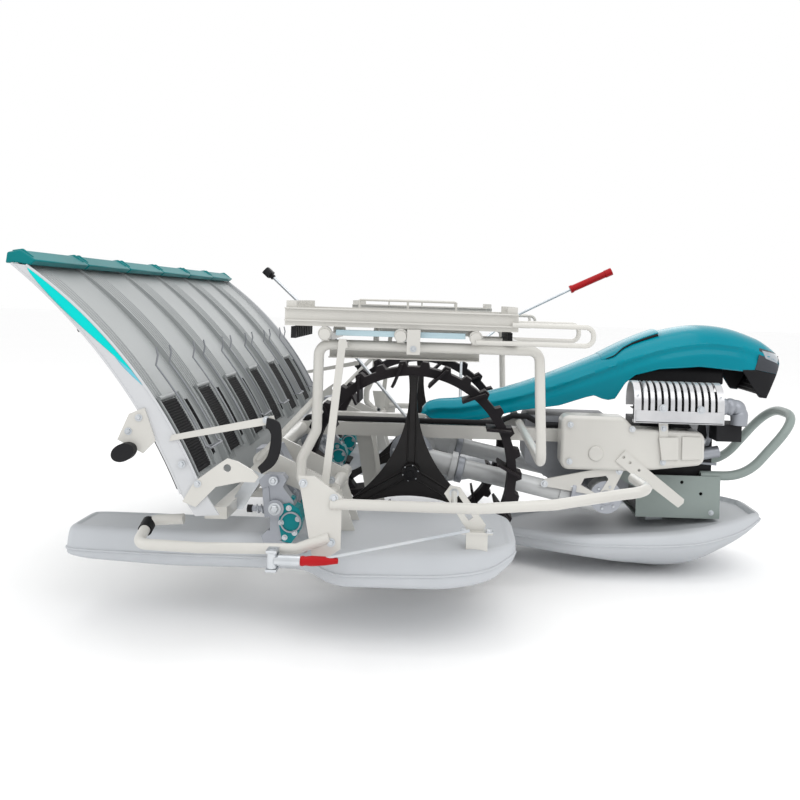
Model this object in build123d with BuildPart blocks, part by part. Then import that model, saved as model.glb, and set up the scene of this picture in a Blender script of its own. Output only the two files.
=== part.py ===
"""Walk-behind six-row rice transplanter, parked on its two drive wheels and the nose of its centre float.

+X is forward, +Y is the machine's left and +Z is up. The origin is on the ground below the middle of
the machine. Lengths are in millimetres.
"""

import math
import os

from build123d import *

os.makedirs("parts", exist_ok=True)

# Driving dimensions
ROW_PITCH = 300.0
ROWS = 6
PLATFORM_HALF = ROWS * ROW_PITCH / 2
ROW_Y = [(row - (ROWS - 1) / 2) * ROW_PITCH for row in range(ROWS)]
CASE_Y = [-2 * ROW_PITCH, 0.0, 2 * ROW_PITCH]
TREAD_HALF = 300.0
WHEEL_R = 330.0
LOBES = 30
LOBE_TOP = 9.0
AXLE_X = -107.0
AXLE_Z = math.hypot(WHEEL_R, LOBE_TOP) * math.cos(math.pi / LOBES - math.atan2(LOBE_TOP, WHEEL_R))
FRONT_X = 1137.0
REAR_X = -1137.0
GUARD_Y = 925.0
MARKER_Y = 958.0
TUBE = 25.0
SIDES = (("right", -1), ("left", 1))


def side_plane(y):
    """A plane across the machine at y, drawn in x and z, whose normal points to the right (-Y)."""
    return Plane(origin=(0, y, 0), x_dir=(1, 0, 0), z_dir=(0, -1, 0))


made = {}


def keep(piece, name):
    """Labels a finished piece, writes its file and remembers it for the pieces that meet it."""
    piece.part.label = name
    made[name] = piece.part
    export_step(piece.part, f"parts/{name}.step")


def cope(*names):
    """Trims the open part to the finished pieces that it meets, so that they meet face to face."""
    for name in names:
        add(made[name], mode=Mode.SUBTRACT)


def tube(points, bend, diameter):
    """A round bar along straight runs joined by tangent arcs, added to the open part."""
    with BuildLine() as path:
        if len(points) == 2:
            Line(*points)
        else:
            FilletPolyline(*points, radius=bend)
    with BuildSketch(Plane(origin=path.line @ 0, z_dir=path.line % 0)) as section:
        Circle(diameter / 2)
    sweep(section.sketch, path=path.line)


def plate(points, y, thickness, mode=Mode.ADD):
    """A flat plate drawn in x and z, from y towards the right by its thickness."""
    with BuildSketch(side_plane(y)) as outline:
        with BuildLine():
            Polyline(*points, close=True)
        make_face()
    extrude(outline.sketch, amount=thickness, mode=mode)


def shaft(x, z, y_from, y_to, radius, mode=Mode.ADD):
    """A round shaft across the machine between two y values."""
    with BuildSketch(side_plane(max(y_from, y_to))) as disc:
        with Locations((x, z)):
            Circle(radius)
    extrude(disc.sketch, amount=abs(y_from - y_to), mode=mode)


def block(x_range, y_range, z_range, mode=Mode.ADD):
    """A rectangular block between three pairs of limits."""
    limits = [sorted(pair) for pair in (x_range, y_range, z_range)]
    with Locations(tuple(sum(pair) / 2 for pair in limits)):
        Box(*[high - low for low, high in limits], mode=mode)


# Drive wheels: a rubber-faced ring with lobes and slanting paddles on a three-armed spider
RIM_IN = 288.0
RIM_OUT = 314.0
RIM_WIDTH = 62.0
LOBE_BASE = 16.0
PADDLES = 15
PADDLE_WIDTH = 112.0
PADDLE_IN = 258.0
PADDLE_SLANT = math.radians(7.0)
PADDLE_T = 7.0
ARM_CUT_R = 392.0
ARM_CUT_AT = 466.0
SPIDER_T = 8.0
RIB_R = 8.0
HUB_R = 26.0
HUB_LENGTH = 64.0
AXLE_R = 14.0
RUNNING_GAP = 0.05


def wheel_plane(sign):
    """The wheel's own plane, with its centre on the axle."""
    return Plane(origin=(AXLE_X, sign * TREAD_HALF, AXLE_Z), x_dir=(1, 0, 0), z_dir=(0, -1, 0))


for side, sign in SIDES:
    paddle_foot = WHEEL_R - 6
    paddle_tip = (PADDLE_IN * math.cos(PADDLE_SLANT), PADDLE_IN * math.sin(PADDLE_SLANT))
    with BuildPart() as rim:
        with BuildSketch(wheel_plane(sign)):
            Circle(RIM_OUT)
            with PolarLocations(0, LOBES, start_angle=90 + 180 / LOBES):
                Polygon(
                    (RIM_OUT - 3, -LOBE_BASE),
                    (WHEEL_R, -LOBE_TOP),
                    (WHEEL_R, LOBE_TOP),
                    (RIM_OUT - 3, LOBE_BASE),
                    align=None,
                )
            Circle(RIM_IN, mode=Mode.SUBTRACT)
        extrude(amount=RIM_WIDTH / 2, both=True)
        with BuildSketch(wheel_plane(sign)):
            with PolarLocations(0, PADDLES, start_angle=90 + 180 / LOBES):
                Polygon(
                    paddle_tip,
                    (paddle_foot, -PADDLE_T / 2),
                    (paddle_foot, PADDLE_T / 2),
                    (paddle_tip[0] + 4, paddle_tip[1] + PADDLE_T),
                    align=None,
                )
        extrude(amount=PADDLE_WIDTH / 2, both=True)
    keep(rim, f"wheel_rim_{side}")

    with BuildPart() as spider:
        with BuildSketch(wheel_plane(sign)):
            Circle(RIM_IN)
            with PolarLocations(ARM_CUT_AT, 3, start_angle=30):
                Circle(ARM_CUT_R, mode=Mode.SUBTRACT)
            Circle(HUB_R)
        extrude(amount=SPIDER_T / 2, both=True)
        with BuildSketch(wheel_plane(sign)):
            Circle(HUB_R)
        extrude(amount=HUB_LENGTH / 2, both=True)
        with BuildSketch(wheel_plane(sign)):
            with PolarLocations(RIM_IN / 2 - 1, 3, start_angle=90):
                Rectangle(RIM_IN - 4, 2 * RIB_R)
        extrude(amount=RIB_R, both=True)
        with BuildSketch(wheel_plane(sign)):
            Circle(AXLE_R + RUNNING_GAP)
        extrude(amount=HUB_LENGTH, both=True, mode=Mode.SUBTRACT)
    keep(spider, f"wheel_spider_{side}")

# Chassis: two fore-and-aft beams, a cross tube for the side frames and the ends for the rear beam
BEAM_Y = 120.0
BEAM = 40.0
BEAM_Z = 425.0
BEAM_FRONT = 600.0
REAR_BEAM_X = -470.0
REAR_BEAM_Z = 420.0
REAR_BEAM_R = 24.0
CROSS_X = 228.0
CROSS_Z = 457.0
SIDE_FRAME_Y = 800.0

with BuildPart() as rear_beam:
    shaft(REAR_BEAM_X, REAR_BEAM_Z, -690, 690, REAR_BEAM_R)
keep(rear_beam, "rear_beam")

with BuildPart() as chassis:
    for sign in (-1, 1):
        block(
            (REAR_BEAM_X, BEAM_FRONT),
            (sign * BEAM_Y - BEAM / 2, sign * BEAM_Y + BEAM / 2),
            (BEAM_Z - BEAM / 2, BEAM_Z + BEAM / 2),
        )
    cope("rear_beam")
keep(chassis, "chassis_beams")

# Gear case between the beams, with the side outlets that carry the swing arms
PIVOT_X = 490.0
PIVOT_Z = 255.0
with BuildPart() as case:
    with BuildSketch(side_plane(BEAM_Y - BEAM / 2)):
        with BuildLine():
            Polyline(
                (250, 330), (420, 220), (520, 195), (590, 260), (590, 430), (520, 480), (250, 480),
                close=True,
            )
        make_face()
    extrude(amount=2 * BEAM_Y - BEAM)
    fillet(case.edges().filter_by(Axis.Y), 22)
    shaft(PIVOT_X, PIVOT_Z, -170, 170, 44)
keep(case, "gear_case")

# Swing arms that carry the drive wheels: hub gearbox, tube, flange and front casting
ARM_Y = 205.0
ARM_TUBE_R = 28.0
ARM_FRONT = (433.0, 242.0)
ARM_REAR = (-80.0, 352.0)
for side, sign in SIDES:
    y = sign * ARM_Y
    run = Vector(ARM_FRONT[0] - ARM_REAR[0], 0, ARM_FRONT[1] - ARM_REAR[1]).normalized()
    with BuildPart() as arm:
        with BuildSketch(Plane(origin=(ARM_REAR[0], y, ARM_REAR[1]), z_dir=run)):
            Circle(ARM_TUBE_R)
        extrude(amount=565)
        for start, length, radius in ((0, 92, 34), (92, 18, 43), (440, 125, 33)):
            begin = Vector(ARM_REAR[0], y, ARM_REAR[1]) + run * start
            with BuildSketch(Plane(origin=begin, z_dir=run)):
                Circle(radius)
            extrude(amount=length)
        shaft(AXLE_X, AXLE_Z, sign * (ARM_Y - 36), sign * (ARM_Y + 37), 62)
        shaft(AXLE_X, AXLE_Z, sign * (ARM_Y + 20), sign * (TREAD_HALF + HUB_LENGTH / 2 + 4), AXLE_R)
        shaft(
            AXLE_X,
            AXLE_Z,
            sign * (TREAD_HALF + HUB_LENGTH / 2 + 2),
            sign * (TREAD_HALF + HUB_LENGTH / 2 + 12),
            HUB_R - 6,
        )
        shaft(PIVOT_X, PIVOT_Z, sign * 170, sign * (ARM_Y + 36), 50)
    keep(arm, f"swing_arm_{side}")

# Control cable sleeve along the right-hand beam, humped over the cross tube, from the rear beam to the engine
CABLE = (
    (-463, -120, 436), (-448, -120, 456), (-300, -120, 455), (150, -120, 455), (205, -120, 480), (252, -120, 480),
    (300, -120, 455), (540, -118, 455), (588, -106, 452), (630, -104, 452),
)
CABLE_R = 9.0

# Engine on its folded tray, with the belt cover, the silencer guard and the front bumper
TRAY_X = (603.0, 869.0)
TRAY_Z = (177.0, 311.0)
TRAY_Y = 150.0
TRAY_T = 4.0
TRAY_HOLES = ((747.0, 290.0), (808.0, 255.0))
with BuildPart() as tray:
    block(TRAY_X, (-TRAY_Y, TRAY_Y), TRAY_Z)
    block(
        (TRAY_X[0] - 1, TRAY_X[1] - TRAY_T),
        (-TRAY_Y + TRAY_T, TRAY_Y - TRAY_T),
        (TRAY_Z[0] + TRAY_T, TRAY_Z[1] + 1),
        mode=Mode.SUBTRACT,
    )
    for x, z in TRAY_HOLES:
        shaft(x, z, -TRAY_Y - 1, TRAY_Y + 1, 5.5, mode=Mode.SUBTRACT)
    for sign in (-1, 1):
        inner = sign * (BEAM_Y + BEAM / 2)
        plate(((480, 330), (640, 250), (640, 300), (580, 440), (480, 440)), max(inner, inner + sign * 7), 7)
keep(tray, "engine_tray")

with BuildPart() as engine:
    block((615, 850), (-112, 112), (TRAY_Z[0] + TRAY_T, 470))
    block((640, 820), (-105, 112), (470, 600))
    block((838, 916), (-196, -100), (430, 484))
    for fin in range(6):
        block((632, 828), (-111, 118), (492 + 16 * fin, 496 + 16 * fin))
    cope("engine_tray")
keep(engine, "engine_block")

with BuildPart() as fittings:
    tube([(772, -160, 376), (856, -160, 394)], 0, 36)
    shaft(800, 382, -158, -112, 15)
    plate(((826, 478), (846, 470), (852, 440), (838, 404), (824, 400), (832, 436)), -112, 5)
    tube([(700, -119, 330), (760, -126, 352), (852, -160, 352)], 10, 8)
    cope("engine_block", "engine_tray")
keep(fittings, "engine_fittings")

with BuildPart() as cable:
    tube(list(CABLE), 12, 2 * CABLE_R)
    cope("engine_block", "chassis_beams", "rear_beam")
keep(cable, "control_cable")

COVER_Y = (-262.0, -185.0)
with BuildPart() as cover:
    with BuildSketch(side_plane(COVER_Y[1])):
        with BuildLine():
            Polyline(
                (345, 505), (535, 505), (570, 470), (784, 466), (784, 365), (585, 340), (345, 340),
                close=True,
            )
        make_face()
        fillet(vertices(), 26)
    extrude(amount=COVER_Y[1] - COVER_Y[0])
    fillet(cover.faces().sort_by(Axis.Y)[0].edges(), 12)
    shaft(466, 425, COVER_Y[1], -BEAM_Y - BEAM / 2, 40)
    shaft(700, 425, COVER_Y[1], -112, 24)
    cope("engine_tray")
keep(cover, "belt_cover")

TRIANGLE = ((288, 286), (300, 306), (498, 350), (545, 346), (492, 238), (470, 238), (452, 262))
TRIANGLE_HOLE = ((412, 292), (422, 312), (488, 322), (496, 312), (470, 268), (456, 268))
LINK = ((512, 372), (540, 404), (724, 262), (722, 250), (706, 236), (628, 292), (622, 284))
STRAP = ((640, 492), (668, 492), (670, 436), (692, 366), (656, 360), (644, 438))
with BuildPart() as cover_arms:
    plate(TRIANGLE, -ARM_Y - 36, 6)
    plate(TRIANGLE_HOLE, -ARM_Y - 34, 10, mode=Mode.SUBTRACT)
    plate(LINK, COVER_Y[0], 5)
    for x, z in ((536, 384), (556, 368), (584, 346)):
        shaft(x, z, COVER_Y[0] + 1, COVER_Y[0] - 6, 4.5, mode=Mode.SUBTRACT)
    plate(STRAP, COVER_Y[0], 4)
    cope("belt_cover")
keep(cover_arms, "cover_arms")

GUARD_X = (561.0, 834.0)
GUARD_AXIS = (-215.0, 548.0)
with BuildPart() as silencer:
    with BuildSketch(Plane.YZ.offset(GUARD_X[0] + 44)):
        with Locations((GUARD_AXIS[0], GUARD_AXIS[1] - 8)):
            Circle(46)
    extrude(amount=226)
    tube([(826, -215, 541), (900, -215, 541), (900, -215, 484)], 28, 46)
    shaft(700, 500, -200, -105, 14)
    cope("engine_block")
keep(silencer, "silencer")

GUARD_R = 66.0
GUARD_T = 4.0
GUARD_FOOT = 492.0
GUARD_SLOTS = 12
SLOT = 8.0
with BuildPart() as muffler:
    with BuildSketch(Plane.YZ.offset(GUARD_X[0])):
        axis_y, axis_z = GUARD_AXIS
        inner_r = GUARD_R - GUARD_T
        with BuildLine():
            Line((axis_y - GUARD_R, GUARD_FOOT), (axis_y - GUARD_R, axis_z))
            ThreePointArc((axis_y - GUARD_R, axis_z), (axis_y, axis_z + GUARD_R), (axis_y + GUARD_R, axis_z))
            Line((axis_y + GUARD_R, axis_z), (axis_y + GUARD_R, GUARD_FOOT + 40))
            Line((axis_y + GUARD_R, GUARD_FOOT + 40), (axis_y + inner_r, GUARD_FOOT + 40))
            Line((axis_y + inner_r, GUARD_FOOT + 40), (axis_y + inner_r, axis_z))
            ThreePointArc((axis_y + inner_r, axis_z), (axis_y, axis_z + inner_r), (axis_y - inner_r, axis_z))
            Line((axis_y - inner_r, axis_z), (axis_y - inner_r, GUARD_FOOT + 8))
            Line((axis_y - inner_r, GUARD_FOOT + 8), (axis_y - inner_r + 22, GUARD_FOOT + 8))
            Line((axis_y - inner_r + 22, GUARD_FOOT + 8), (axis_y - inner_r + 22, GUARD_FOOT))
            Line((axis_y - inner_r + 22, GUARD_FOOT), (axis_y - GUARD_R, GUARD_FOOT))
        make_face()
    extrude(amount=GUARD_X[1] - GUARD_X[0])
    slot_pitch = (GUARD_X[1] - GUARD_X[0] - 50) / (GUARD_SLOTS - 1)
    for slot in range(GUARD_SLOTS):
        x = GUARD_X[0] + 25 + slot * slot_pitch
        block((x - SLOT / 2, x + SLOT / 2), (axis_y - 80, axis_y + 30), (505, 620), mode=Mode.SUBTRACT)
    block((620, 780), (axis_y + inner_r, -105), (GUARD_FOOT + 40, GUARD_FOOT + 54))
    cope("silencer", "engine_block")
keep(muffler, "silencer_guard")

BUMPER_R = 15.0
BUMPER_Y = 131.0
BUMPER_TOP = (FRONT_X - BUMPER_R, 505.0)
with BuildPart() as bumper:
    leg = [(TRAY_X[1] - 60, 310), (955, 312), BUMPER_TOP]
    points = [(x, -BUMPER_Y, z) for x, z in leg] + [(x, BUMPER_Y, z) for x, z in reversed(leg)]
    tube(points, 55, 2 * BUMPER_R)
    cope("engine_tray")
keep(bumper, "front_bumper")

# Hood: a thin moulded shell over the engine, hinged at its tail
HOOD_T = 4.0
HOOD_PIVOT = (-62.0, 468.0)
HOOD_SECTIONS = (
    # x, top z, half width, top corner radius
    (-84.0, 490.0, 46.0, 26.0),
    (-62.0, 507.0, 51.0, 29.0),
    (-30.0, 515.0, 56.0, 31.0),
    (40.0, 522.0, 64.0, 34.0),
    (234.0, 576.0, 88.0, 44.0),
    (468.0, 672.0, 118.0, 58.0),
    (669.0, 757.0, 142.0, 70.0),
    (836.0, 787.0, 150.0, 74.0),
    (1000.0, 752.0, 144.0, 70.0),
    (1074.0, 700.0, 118.0, 56.0),
)
HOOD_LOWER = (
    # lower edge from the tail to the grille, then up the leaning nose
    (-90.0, 471.0), (-76.0, 470.0), (-60.0, 457.0), (-30.0, 453.0), (90.0, 457.0), (227.0, 496.0), (355.0, 518.0), (466.0, 556.0), (504.0, 545.0),
    (527.0, 545.0), (560.0, 599.0), (592.0, 626.0), (668.0, 648.0), (796.0, 660.0), (930.0, 650.0),
    (985.0, 566.0), (1010.0, 566.0), (1076.0, 700.0),
)


def with_midways(rows):
    """The table's rows with one more midway between neighbours, on the cubic through the nearest four."""
    filled = [rows[0]]
    for place in range(1, len(rows)):
        near = [rows[max(place - 2, 0)], rows[place - 1], rows[place], rows[min(place + 1, len(rows) - 1)]]
        middle = tuple((-a + 9 * b + 9 * c - d) / 16 for a, b, c, d in zip(*near))
        filled += [middle, rows[place]]
    return filled


def hood_solid(inset):
    """Loft of arch sections, drawn in from the outer skin by the inset, from well below the lower edge."""
    with BuildPart() as solid:
        for x, top, half, radius in with_midways(HOOD_SECTIONS):
            shift = inset if x == HOOD_SECTIONS[0][0] else (-inset if x == HOOD_SECTIONS[-1][0] else 0)
            half_in = half - inset
            top_in = top - inset
            corner = radius - inset
            with BuildSketch(Plane(origin=(x + shift, 0, 0), x_dir=(0, 1, 0), z_dir=(1, 0, 0))):
                with BuildLine():
                    Line((-half_in, 380 - inset), (-half_in, top_in - corner))
                    RadiusArc((-half_in, top_in - corner), (-half_in + corner, top_in), corner)
                    Line((-half_in + corner, top_in), (half_in - corner, top_in))
                    RadiusArc((half_in - corner, top_in), (half_in, top_in - corner), corner)
                    Line((half_in, top_in - corner), (half_in, 380 - inset))
                    Line((half_in, 380 - inset), (-half_in, 380 - inset))
                make_face()
        loft(ruled=True)
    return solid.part


with BuildPart() as hood:
    add(hood_solid(0))
    add(hood_solid(HOOD_T), mode=Mode.SUBTRACT)
    plate(((-100, 300),) + HOOD_LOWER + ((1100, 700), (1100, 300)), 200, 400, mode=Mode.SUBTRACT)
    shaft(HOOD_PIVOT[0], HOOD_PIVOT[1], -48, 48, 12)
    shaft(HOOD_PIVOT[0], HOOD_PIVOT[1], -60, 60, 5 + RUNNING_GAP, mode=Mode.SUBTRACT)
    block((-80, -44), (-20, 20), (450, 500), mode=Mode.SUBTRACT)
keep(hood, "hood_shell")

with BuildPart() as grille:
    plate(((1000, 570), (1014, 570), (1078, 702), (1060, 702)), 150, 300)
    add(hood_solid(HOOD_T), mode=Mode.INTERSECT)
    cope("hood_shell")
keep(grille, "hood_grille")

with BuildPart() as hinge:
    block((-78, -46), (-18, 18), (440, 448))
    for sign in (-1, 1):
        block((-72, -52), (sign * 10, sign * 16), (446, 478))
    shaft(HOOD_PIVOT[0], HOOD_PIVOT[1], -40, 40, 5)
    block((-78, -46), (-BEAM_Y + BEAM / 2, BEAM_Y - BEAM / 2), (425, 436))
    block((-70, -54), (-8, 8), (430, 442))
keep(hinge, "hood_hinge")

# Floats: the long centre float, whose nose bulge rests on the ground, and one wide float on each side
def float_hull(outline, parting, reach, corner):
    """A moulded float widest at its parting line, drawn in towards its deck and its keel."""
    for depth, taper in ((reach[0], 20), (-reach[1], 28)):
        with BuildSketch(Plane.XY.offset(parting)) as plan:
            with BuildLine():
                Polyline(*outline, close=True)
            make_face()
            fillet(vertices(), corner)
        extrude(plan.sketch, amount=depth, taper=taper)


def trim_to_side(profile):
    """Keeps only what lies inside the side view's outline."""
    with BuildSketch(side_plane(1000)) as side_view:
        with BuildLine():
            Polyline(*profile, close=True)
        make_face()
    extrude(side_view.sketch, amount=2000, mode=Mode.INTERSECT)


MID_RIGHT = (
    # x, distance from the middle
    (-560, 90), (-420, 105), (200, 112), (330, 200), (420, 255), (760, 262), (920, 200), (1020, 74),
)
MID_SIDE = (
    (-560, 40), (-520, 26), (-200, 42), (214, 58), (520, 52), (760, 62), (920, 96), (1020, 140),
    (1020, 158), (900, 165), (764, 152), (458, 138), (330, 126), (0, 112), (-520, 84), (-560, 78),
)
with BuildPart() as float_mid:
    mirrored = [(x, -y) for x, y in MID_RIGHT] + [(x, y) for x, y in reversed(MID_RIGHT)]
    float_hull(mirrored, 112, (60, 90), 36)
    trim_to_side(MID_SIDE)
    for z, x_from, x_to, half in ((0.0, 610, 800, 100), (70.0, 470, 900, 190)):
        with BuildSketch(Plane.XY.offset(z)):
            with Locations(((x_from + x_to) / 2, 0)):
                RectangleRounded(x_to - x_from, 2 * half, 60)
    loft(ruled=True)
keep(float_mid, "centre_float")

SIDE_OUTLINE = (
    # x, distance from the middle
    (-985, 512), (-985, 690), (-700, 702), (-350, 708), (-262, 856), (60, 856), (172, 760), (172, 440),
    (80, 372), (-262, 372), (-350, 502), (-700, 502),
)
SIDE_PROFILE = (
    (-985, 190), (-930, 152), (-700, 146), (-420, 158), (-240, 172), (40, 172), (120, 190), (172, 216), (172, 234),
    (120, 246), (-296, 240), (-700, 226), (-800, 230), (-985, 238),
)
for side, sign in SIDES:
    with BuildPart() as float_out:
        float_hull([(x, sign * y) for x, y in SIDE_OUTLINE], 206, (46, 62), 62)
        trim_to_side(SIDE_PROFILE)
    keep(float_out, f"side_float_{side}")

# Planting drive: three cases under the rear beam, each with a crank shaft and a planting arm on each side
CRANK_X = -418.0
CRANK_Z = 320.0
with BuildPart() as cases:
    for y in CASE_Y:
        plate(
            ((-500, 440), (-440, 450), (-385, 350), (-385, 300), (-430, 285), (-455, 300), (-500, 400)),
            y + 32,
            64,
        )
        shaft(CRANK_X, CRANK_Z, y - ROW_PITCH / 2 - 25, y + ROW_PITCH / 2 + 25, 11)
    cope("chassis_beams", "rear_beam")
keep(cases, "planting_cases")

ARM_BODY = ((-462, 386), (-446, 402), (-404, 402), (-392, 390), (-402, 372), (-376, 340), (-360, 300), (-384, 250),
            (-412, 238), (-430, 262), (-434, 330), (-452, 366))
ARM_COVER = ((-404, 330), (-384, 334), (-360, 322), (-350, 296), (-358, 262), (-376, 236), (-398, 240), (-408, 284))
FORK = ((-424, 262), (-408, 262), (-400, 214), (-404, 187), (-408, 187), (-412, 214))
HEEL = ((-452, 250), (-436, 264), (-420, 262), (-404, 240), (-392, 236), (-384, 222), (-394, 211), (-424, 211),
        (-442, 222))
FOOT_PAD = ((-402, 250), (-392, 250), (-386, 214), (-378, 204), (-398, 204))
with BuildPart() as arms:
    for y in ROW_Y:
        with BuildPart(mode=Mode.PRIVATE) as body:
            plate(ARM_BODY, y + 17, 34)
            fillet(body.edges().filter_by(Axis.Y), 6)
        add(body.part)
        shaft(-424, 388, y - 25, y + 25, 12)
        shaft(CRANK_X, CRANK_Z, y - 27, y + 27, 22)
        tube([(-478, y, 313), (-404, y, 313)], 0, 14)
        plate(HEEL, y + 15, 30)
        for tine in (-10, 10):
            plate(FORK, y + tine + 1.5, 3)
        plate(FOOT_PAD, y + 8, 16)
    cope("planting_cases")
keep(arms, "planting_arms")

with BuildPart() as arm_covers:
    for y in ROW_Y:
        plate(ARM_COVER, y + 23, 46)
    cope("planting_arms", "planting_cases")
keep(arm_covers, "arm_covers")

# Side brackets that carry the outer ends, the floats' rear links and the guard rails
OUTER_X = -290.0
OUTER_Z = 345.0
with BuildPart() as brackets:
    for sign in (-1, 1):
        shaft(OUTER_X, OUTER_Z, sign * 400, sign * (GUARD_Y - 6), 17)
        for y in (500, 690):
            edge = sign * y + 4
            plate(((-500, 400), (-455, 450), (-270, 365), (-272, 322), (-300, 322)), edge, 8)
        for y in (545, 655):
            edge = sign * y + 4
            plate(((-310, 345), (-270, 345), (-232, 238), (-275, 238)), edge, 8)
    for y in (-70, 70):
        plate(((-300, 406), (-250, 406), (-200, 98), (-240, 96)), y + 4, 8)
        block((-300, -250), (y, math.copysign(BEAM_Y - BEAM / 2, y)), (406, 416))
    cope("rear_beam", "centre_float", "side_float_right", "side_float_left")
keep(brackets, "float_links")

with BuildPart() as front_link:
    for y in (-60, 60):
        plate(((650, 120), (720, 120), (700, 178), (660, 178)), y + 4, 8)
    cope("centre_float", "engine_tray")
keep(front_link, "float_front_link")

# Guard rails with the rear hook and the bracket plate that joins their two runs
for side, sign in SIDES:
    y = sign * GUARD_Y
    with BuildPart() as guard:
        tube(
            [(-620, sign * 842, 306), (-700, sign * 842, 300), (-700, y, 268), (-560, y, 263),
             (-337, y, 267), (-262, y, 296)],
            22,
            TUBE,
        )
        tube(
            [(-262, y, 372), (72, y, 371), (250, y, 386), (400, y, 414), (468, y, 424),
             (455, sign * 786, 424)],
            40,
            TUBE,
        )
        plate(
            ((-337, 434), (-300, 434), (-236, 390), (-236, 270), (-280, 240), (-300, 250)),
            y + 3,
            6,
        )
    keep(guard, f"guard_rail_{side}")

# Slotted struts that set the height of the side floats, each pinned to its guard rail
STRUT = ((-4, 374), (10, 394), (34, 390), (100, 300), (92, 284), (56, 284))
STRUT_SLOT = ((16, 366), (28, 374), (68, 318), (57, 310))
STRUT_Y = 790.0
with BuildPart() as struts:
    for sign in (-1, 1):
        edge = sign * STRUT_Y + 3
        plate(STRUT, edge, 6)
        plate(STRUT_SLOT, edge + 1, 8, mode=Mode.SUBTRACT)
        shaft(20, 376, sign * (STRUT_Y - 12), sign * (GUARD_Y - 4), 7)
        block((40, 116), (sign * (STRUT_Y - 3), sign * (STRUT_Y + 24)), (282, 287))
        block((52, 104), (sign * (STRUT_Y - 22), sign * (STRUT_Y + 22)), (232, 284))
    cope("side_float_right", "side_float_left", "guard_rail_right", "guard_rail_left")
keep(struts, "float_struts")

# Side frames and the spare seedling racks on top of them
RACK_Z = 776.0
RACK_X = (-396.0, 160.0)
RACK_Y = (552.0, 838.0)
RACK_WALL = 40.0
ROLLER_R = 16.0
ROLLER_X = (-300.0, -119.0, 60.0)
COMB_SLATS = 11
for side, sign in SIDES:
    y = sign * SIDE_FRAME_Y
    with BuildPart() as frame:
        tube(
            [(-300, y, OUTER_Z + 8), (-352, y, 400), (-352, y, 450), (-318, y, 520), (-318, y, 728),
             (216, y, 728), (CROSS_X, y, CROSS_Z), (CROSS_X, sign * (BEAM_Y - 12), CROSS_Z)],
            26,
            TUBE,
        )
        plate(((-300, 345), (-282, 345), (-246, 745), (-264, 745)), sign * 850 + 2, 4)
        for x in ROLLER_X:
            block((x - 9, x + 9), (sign * 560, sign * 828), (738, 754))
            for roller_y in (566, 832):
                shaft(x, RACK_Z - 3 - ROLLER_R, sign * (roller_y - 8), sign * (roller_y + 8), ROLLER_R)
        block((-266, -244), (sign * (SIDE_FRAME_Y - 4), sign * 852), (724, 738))
        for flange in ((694, 738, 742, 745), (694, 697, 742, 766)):
            block((-300, 72), (sign * flange[2], sign * flange[3]), flange[:2])
        tube([(-478, sign * 702, 428), (-318, sign * 790, 602)], 0, 16)
        cope("float_links", "chassis_beams")
    keep(frame, f"side_frame_{side}")

    with BuildPart() as rack:
        block(RACK_X, (sign * RACK_Y[0], sign * RACK_Y[1]), (RACK_Z - 3, RACK_Z))
        for edge in RACK_Y:
            inward = math.copysign(1, sum(RACK_Y) / 2 - edge)
            wall = sorted((sign * edge, sign * (edge + 3 * inward)))
            block(RACK_X, wall, (RACK_Z - 3, RACK_Z + RACK_WALL))
            for level in (RACK_Z + 8, RACK_Z + RACK_WALL - 3):
                block(RACK_X, (sign * edge, sign * (edge - 9 * inward)), (level, level + 3))
        slat_pitch = (RACK_Y[1] - RACK_Y[0] - 12) / (COMB_SLATS - 1)
        for x in (RACK_X[0] + 14, RACK_X[1] - 14):
            for slat in range(COMB_SLATS):
                slat_y = sign * (RACK_Y[0] + 6 + slat * slat_pitch)
                block((x - 12, x + 12), (slat_y - 2, slat_y + 2), (RACK_Z - 1, RACK_Z + 56))
            block((x - 12, x - 9), (sign * RACK_Y[0], sign * RACK_Y[1]), (RACK_Z - 1, RACK_Z + 30))
        for x in (-250, -119, 12):
            tube(
                [(x, sign * RACK_Y[0], RACK_Z + 30), (x, sign * RACK_Y[0], RACK_Z + 62)], 0, 6
            )
        tube(
            [(-250, sign * RACK_Y[0], RACK_Z + 62), (12, sign * RACK_Y[0], RACK_Z + 62)], 0, 6
        )
        cope(f"side_frame_{side}")
    keep(rack, f"seedling_rack_{side}")

HOOP_X = (60.0, 338.0)
HOOP_Z = (746.0, 790.0)
with BuildPart() as loops:
    for sign in (-1, 1):
        for y in (606, 847):
            corners = [(HOOP_X[0], HOOP_Z[0]), (HOOP_X[1], HOOP_Z[0]), (HOOP_X[1], HOOP_Z[1]), (145.0, HOOP_Z[1])]
            tube([(x, sign * y, z) for x, z in corners], 20, 12)
        block((150, 162), (sign * 606, sign * 847), (HOOP_Z[0] - 4, HOOP_Z[0] + 4))
    cope("side_frame_right", "side_frame_left", "seedling_rack_right", "seedling_rack_left")
keep(loops, "rack_loops")

# Controls: the handlebar behind the platform and two levers on the chassis
HANDLE_Y = 250.0
with BuildPart() as handlebar:
    for sign in (-1, 1):
        y = sign * HANDLE_Y
        tube(
            [(REAR_BEAM_X, y, REAR_BEAM_Z - 12), (-490, y, 240), (-700, y, 236), (-930, y, 520),
             (-985, y, 715), (REAR_X + 120, y, 728)],
            44,
            28,
        )
    tube([(-876, -HANDLE_Y, 452), (-876, HANDLE_Y, 452)], 0, 22)
    cope("rear_beam")
keep(handlebar, "handlebar")

with BuildPart() as grips:
    for sign in (-1, 1):
        with BuildSketch(Plane(origin=(REAR_X, sign * HANDLE_Y, 728), z_dir=(1, 0, 0))):
            Circle(18)
        extrude(amount=120)
    cope("handlebar")
keep(grips, "handle_grips")

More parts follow.
